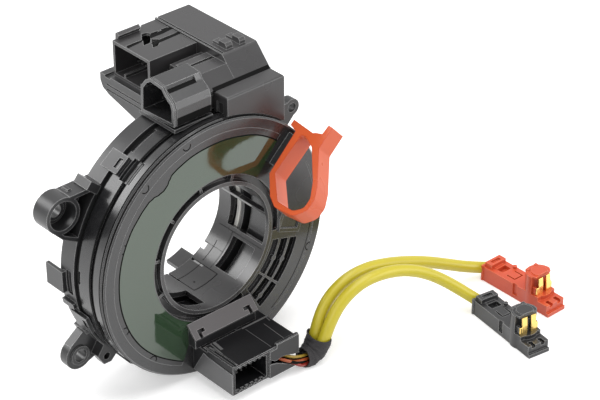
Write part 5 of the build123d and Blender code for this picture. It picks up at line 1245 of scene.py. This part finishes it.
@dataclass
class LeadWires:
    """The thin coloured wires between the wire guide and the tape sleeve, and a black cord painted as shade in a gap
    between them.
    """

    shop: FinishShop
    radius: float = 0.65
    routes: tuple[tuple[str, Finish, tuple[Point, ...]], ...] = (
        ("wire_yellow_core", SHADED_WIRE_YELLOW, (
            (11.2, -40.0, -44.4), (11.8, -47.0, -43.8), (15.5, -49.8, -45.4), (20.0, -49.9, -47.8),
            (25.0, -49.3, -49.4))),
        ("wire_orange_core", SHADED_WIRE_ORANGE, (
            (9.4, -40.0, -45.6), (9.6, -47.2, -44.0), (12.6, -50.9, -45.4), (18.0, -51.3, -48.6),
            (25.0, -50.4, -50.4))),
        ("wire_red_core", SHADED_WIRE_RED, (
            (13.6, -40.0, -46.8), (14.4, -47.6, -47.0), (17.6, -52.0, -49.2), (21.4, -51.8, -51.6),
            (26.0, -50.2, -51.9))),
        ("wire_brown_core", SHADED_WIRE_BROWN, (
            (13.8, -40.0, -46.0), (14.0, -46.6, -46.4), (17.0, -48.4, -47.6), (21.0, -48.3, -49.4),
            (25.0, -48.3, -50.0))),
        ("wire_black_core", LINE_AND_SHADE_BLACK, (
            (11.6, -40.0, -45.2), (12.2, -47.0, -45.0), (15.6, -49.6, -46.6), (19.8, -50.2, -48.6),
            (25.0, -49.6, -49.9))),
        # Painted shade: a black cord in the gap between the orange and yellow wires
        ("wire_gap_shade", LINE_AND_SHADE_BLACK, (
            (10.6, -40.0, -46.2), (10.8, -47.4, -45.3), (14.4, -51.4, -46.4), (18.6, -51.6, -49.2),
            (25.0, -50.2, -50.8))),
    )

    def build(self) -> None:
        """Make each wire in its own colour."""
        for name, finish, route in self.routes:
            item = Workbench.cord(name, route, self.radius, 5, 10)
            dress(item, self.shop.material(finish))
            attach(item, Body.ROTOR.value)
        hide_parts("lead_wires")
        LOG.info("lead wires")


@dataclass
class TapeSleeve:
    """The wrinkled cloth tape round the wires and the ends of the two leads."""

    shop: FinishShop
    centres: tuple[tuple[float, float], ...] = ((23.0, -50.1), (27.0, -50.9), (30.6, -49.0), (31.6, -43.4))
    side: float = -49.0
    widths: tuple[float, float, float] = (4.2, 5.3, 6.1)
    heights: tuple[float, float, float] = (4.0, 4.8, 3.7)
    wall: float = 0.5
    creases: tuple[float, float, float] = (0.16, 0.10, 0.07)
    lowest: float = -53.9
    tape_run: float = 0.55
    around: int = 72
    along: int = 44

    def build(self) -> None:
        """Make the sleeve's outer and inner walls as one closed skin with its UV map along the tape."""
        mesh = bmesh.new()
        coordinates = mesh.loops.layers.uv.new("tape")
        skins = [
            [self._ring(mesh, i / self.along, shrink) for i in range(self.along + 1)] for shrink in (0.0, self.wall)
        ]
        for skin, rings in enumerate(skins):
            for i in range(self.along):
                for j in range(self.around):
                    k = (j + 1) % self.around
                    corners = [(i, j, j), (i, k, j + 1), (i + 1, k, j + 1), (i + 1, j, j)]
                    if skin:
                        corners.reverse()
                    face = mesh.faces.new([rings[a][b] for a, b, _ in corners])
                    for loop, (a, _, c) in zip(face.loops, corners):
                        loop[coordinates].uv = (a / self.along * self.tape_run, c / self.around)
        for i in (0, self.along):
            for j in range(self.around):
                k = (j + 1) % self.around
                mesh.faces.new([skins[0][i][j], skins[0][i][k], skins[1][i][k], skins[1][i][j]])
        sleeve = Workbench.piece("cloth_tape_sleeve", mesh, self.shop.material(TAPE_BLACK), smooth=True)
        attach(sleeve, Body.ROTOR.value)
        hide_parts("tape_sleeve")
        LOG.info("tape sleeve")

    def _ring(self, mesh: bmesh.types.BMesh, share: float, shrink: float) -> list[bmesh.types.BMVert]:
        """Return one ring of the sleeve.

        Args:
            mesh: The mesh that gets the ring.
            share: How far along the sleeve it lies, from 0 to 1.
            shrink: How far inside the outer skin it lies, in millimetres.

        Returns:
            The ring's vertices.
        """
        a, b, c, d = (Vector(point) for point in self.centres)
        rest = 1.0 - share
        centre = a * rest ** 3 + b * 3.0 * rest ** 2 * share + c * 3.0 * rest * share ** 2 + d * share ** 3
        way = ((b - a) * rest ** 2 + (c - b) * 2.0 * rest * share + (d - c) * share ** 2).normalized()
        width, height = (
            row[0] * rest ** 2 + row[1] * 2.0 * rest * share + row[2] * share ** 2
            for row in (self.widths, self.heights)
        )
        lapped, crossed, fine = self.creases
        ring = []
        for i in range(self.around):
            turn = 2.0 * math.pi * i / self.around
            lap = math.sin(6.0 * math.pi * share + turn)
            crease = lapped * lap ** 3 + crossed * math.sin(3.0 * turn + 17.0 * share) * math.sin(9.0 * share)
            crease += fine * math.sin(7.0 * turn - 23.0 * share)
            edge = 0.35 * math.sin(2.0 * turn + 0.6) * (share ** 8)
            out_y = (width - shrink + crease) * math.cos(turn)
            out_n = (height - shrink + crease) * math.sin(turn)
            x = centre.x - way.y * out_n + way.x * edge
            z = centre.y + way.x * out_n + way.y * edge
            ring.append(mesh.verts.new(metres(x, self.side + out_y, max(z, self.lowest + shrink * 0.5))))
        return ring


@dataclass
class AirbagLeads:
    """The two yellow leads from the tape sleeve to the airbag plugs."""

    shop: FinishShop
    diameter: float = 5.0
    upper: tuple[Point, ...] = (
        (31.0, -46.6, -46.6), (33.4, -46.3, -38.2), (39.0, -46.0, -30.4), (48.0, -46.0, -25.8),
        (59.0, -46.0, -25.4), (71.0, -46.0, -28.4), (83.2, -46.1, -32.9), (94.0, -46.5, -37.7),
        (103.9, -47.5, -42.7), (114.6, -49.7, -47.8), (124.3, -53.0, -50.7),
    )
    lower: tuple[Point, ...] = (
        (31.6, -51.5, -45.0), (34.9, -51.7, -36.8), (41.0, -52.1, -29.2), (50.3, -52.7, -24.9),
        (60.8, -53.6, -24.8), (71.3, -54.6, -27.3), (81.1, -56.2, -31.9), (89.7, -58.7, -38.0),
        (97.1, -62.8, -44.8), (103.1, -68.6, -50.6),
    )
    upper_length: float = 110.0
    lower_length: float = 92.5
    orange_at: Point = (123.9, -53.3, -54.0)
    orange_along: tuple[float, float] = (0.0, -1.0)
    black_at: Point = (103.4, -68.8, -54.0)
    black_along: tuple[float, float] = (-0.155, -0.988)

    def build(self, nodes: dict[str, bpy.types.Object]) -> None:
        """Args:
            nodes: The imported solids, of which the plugs hang on the leads.
        """
        for side, route, length, plug, origin, along, finish in (
            ("upper", self.upper, self.upper_length, "orange_plug", self.orange_at, self.orange_along, PLUG_ORANGE),
            ("lower", self.lower, self.lower_length, "black_plug", self.black_at, self.black_along, SATIN_BLACK),
        ):
            trim = PlugTrim(self.shop, plug, f"{plug}_contacts", origin, along, finish).build()
            self._lead(f"{side}_lead", route, length, [nodes[plug], nodes[f"{plug}_slider"], *trim])

    def _lead(self, node: str, route: tuple[Point, ...], length: float, plug: list[bpy.types.Object]) -> None:
        """Make one lead along its route.

        Args:
            node: The solid that it stands for.
            route: Control points in millimetres.
            length: The lead's length in millimetres; not used.
            plug: The pieces on its far end; not used.
        """
        piece = Workbench.cord(f"{node}_sheath", route, self.diameter / 2.0, 8, 16)
        dress(piece, self.shop.material(LEAD_YELLOW))
        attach(piece, Body.ROTOR.value)
        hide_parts(node)
        LOG.info("lead %s", node)


@dataclass
class Studio:
    """Pale floor, white surroundings, soft lamps and the camera of the photograph."""

    azimuth: float = -41.8
    elevation: float = 32.0
    distance: float = 837.0
    right_shift: float = 31.4
    up_shift: float = 18.4
    focal_px: float = 2200.0
    width_px: float = 600.0
    sensor: float = 36.0
    clip_end: float = 20.0
    axis_shift: float = -26.0
    floor_z: float = -54.0
    floor_drop: float = 0.0002
    floor_size: float = 4.0
    floor_glow: float = 0.40
    room_glow: float = 0.45
    white: tuple[float, ...] = (1.0, 1.0, 1.0, 1.0)
    floor_tint: tuple[float, ...] = (0.86, 0.86, 0.86, 1.0)
    lamps: tuple[tuple[str, Point, Point, tuple[float, float], float], ...] = (
        ("top_box", (0.10, -0.05, 0.75), (0.03, -0.03, 0.0), (0.9, 0.7), 5.5),
        ("left_box", (-0.85, -0.30, 0.45), (0.0, -0.02, 0.0), (0.6, 0.7), 2.6),
        ("right_box", (0.75, -0.85, 0.35), (0.03, -0.03, 0.0), (0.7, 0.6), 4.6),
        ("rim_box", (-0.42, 0.58, 0.52), (0.0, 0.0, 0.02), (0.35, 0.45), 2.8),
    )

    def build(self) -> None:
        """Make the camera, the floor, the world and the lamps."""
        self._camera()
        self._floor()
        self._world()
        self._lamps()

    def _frame(self) -> tuple[Vector, Vector, Vector]:
        """Find the camera's directions.

        Returns:
            Its right, up and back directions.
        """
        az, el = math.radians(self.azimuth), math.radians(self.elevation)
        back = Vector((math.sin(az) * math.cos(el), -math.cos(az) * math.cos(el), math.sin(el)))
        right = Vector((math.cos(az), math.sin(az), 0.0))
        return right, back.cross(right), back

    def _camera(self) -> None:
        """Place the camera where the photograph was taken from."""
        right, up, back = self._frame()
        data = bpy.data.cameras.new("camera")
        data.sensor_fit = "HORIZONTAL"
        data.sensor_width = self.sensor
        data.lens = self.sensor * self.focal_px / self.width_px
        data.clip_end = self.clip_end
        camera = linked("camera", data)
        turn = Matrix((right, up, back)).transposed()
        place = (back * self.distance + right * self.right_shift + up * self.up_shift) * MM
        place.y += self.axis_shift * MM
        camera.matrix_world = Matrix.Translation(place) @ turn.to_4x4()
        bpy.context.scene.camera = camera

    def _floor(self) -> None:
        """Lay the pale floor under the lowest point."""
        size, z = self.floor_size, self.floor_z * MM - self.floor_drop
        mesh = bpy.data.meshes.new("floor")
        mesh.from_pydata([(-size, -size, z), (size, -size, z), (size, size, z), (-size, size, z)], [], [(0, 1, 2, 3)])
        floor = linked("floor", mesh)
        material = bpy.data.materials.new("floor_white")
        material.use_nodes = True
        net = Net(material.node_tree)
        net.tree.nodes.clear()
        diffuse = net.add("ShaderNodeBsdfDiffuse", {"Color": self.floor_tint}).outputs[0]
        glow = net.add("ShaderNodeEmission", {"Color": self.white, "Strength": self.floor_glow}).outputs[0]
        both = net.add("ShaderNodeAddShader", {0: diffuse, 1: glow}).outputs[0]
        mix = net.add("ShaderNodeMixShader", {"Fac": self._seen(net), 1: diffuse, 2: both})
        net.add("ShaderNodeOutputMaterial", {"Surface": mix.outputs[0]})
        mesh.materials.append(material)

    @staticmethod
    def _seen(net: Net) -> bpy.types.NodeSocket:
        """Return a socket that is 1 where the camera, a reflection or glass looks.

        Args:
            net: The node tree that gets the nodes.

        Returns:
            The output socket.
        """
        path = net.add("ShaderNodeLightPath").outputs
        mirrored = net.add(
            "ShaderNodeMath", {0: path["Is Glossy Ray"], 1: path["Is Transmission Ray"]}, operation="MAXIMUM")
        seen = net.add("ShaderNodeMath", {0: path["Is Camera Ray"], 1: mirrored.outputs[0]}, operation="MAXIMUM")
        return seen.outputs[0]

    def _world(self) -> None:
        """Surround the unit with white for the camera and a soft grey for its reflections."""
        world = bpy.data.worlds.new("surroundings")
        bpy.context.scene.world = world
        world.use_nodes = True
        net = Net(world.node_tree)
        net.tree.nodes.clear()
        room, white = (
            net.add("ShaderNodeBackground", {"Color": self.white, "Strength": strength}).outputs[0]
            for strength in (self.room_glow, 1.0)
        )
        mix = net.add("ShaderNodeMixShader", {"Fac": self._seen(net), 1: room, 2: white})
        net.add("ShaderNodeOutputWorld", {"Surface": mix.outputs[0]})

    def _lamps(self) -> None:
        """Hang the soft boxes round the unit."""
        for name, place, target, size, power in self.lamps:
            data = bpy.data.lights.new(name, "AREA")
            data.shape = "RECTANGLE"
            data.size, data.size_y = size
            data.energy = power
            lamp = linked(name, data)
            turn = (Vector(target) - Vector(place)).to_track_quat("-Z", "Y").to_matrix()
            lamp.matrix_world = Matrix.Translation(Vector(place)) @ turn.to_4x4()


def main() -> None:
    """Load the frame, dress it, add the pieces and set the studio."""
    logging.basicConfig(level=logging.INFO, format="%(name)s: %(message)s")
    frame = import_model()
    shop = FinishShop()
    Studio().build()
    shading = FrameDress(frame["nodes"], shop).build()
    AirbagLeads(shop).build(frame["nodes"])
    LeadWires(shop).build()
    TapeSleeve(shop).build()
    FilmLabel(shop).build()
    DiscMarks(shop).build()
    LockClip(shop).build()
    BridgeCover(shop).build()
    WheelSocketTrim(shop).build()
    HubSleeve(shop, frame["nodes"]["rotor_hub"], shading).build()
    VentShade(shop).build()
    JointShade(shop).build()
    bpy.context.scene.view_settings.view_transform = "Standard"


if __name__ == "__main__":
    main()
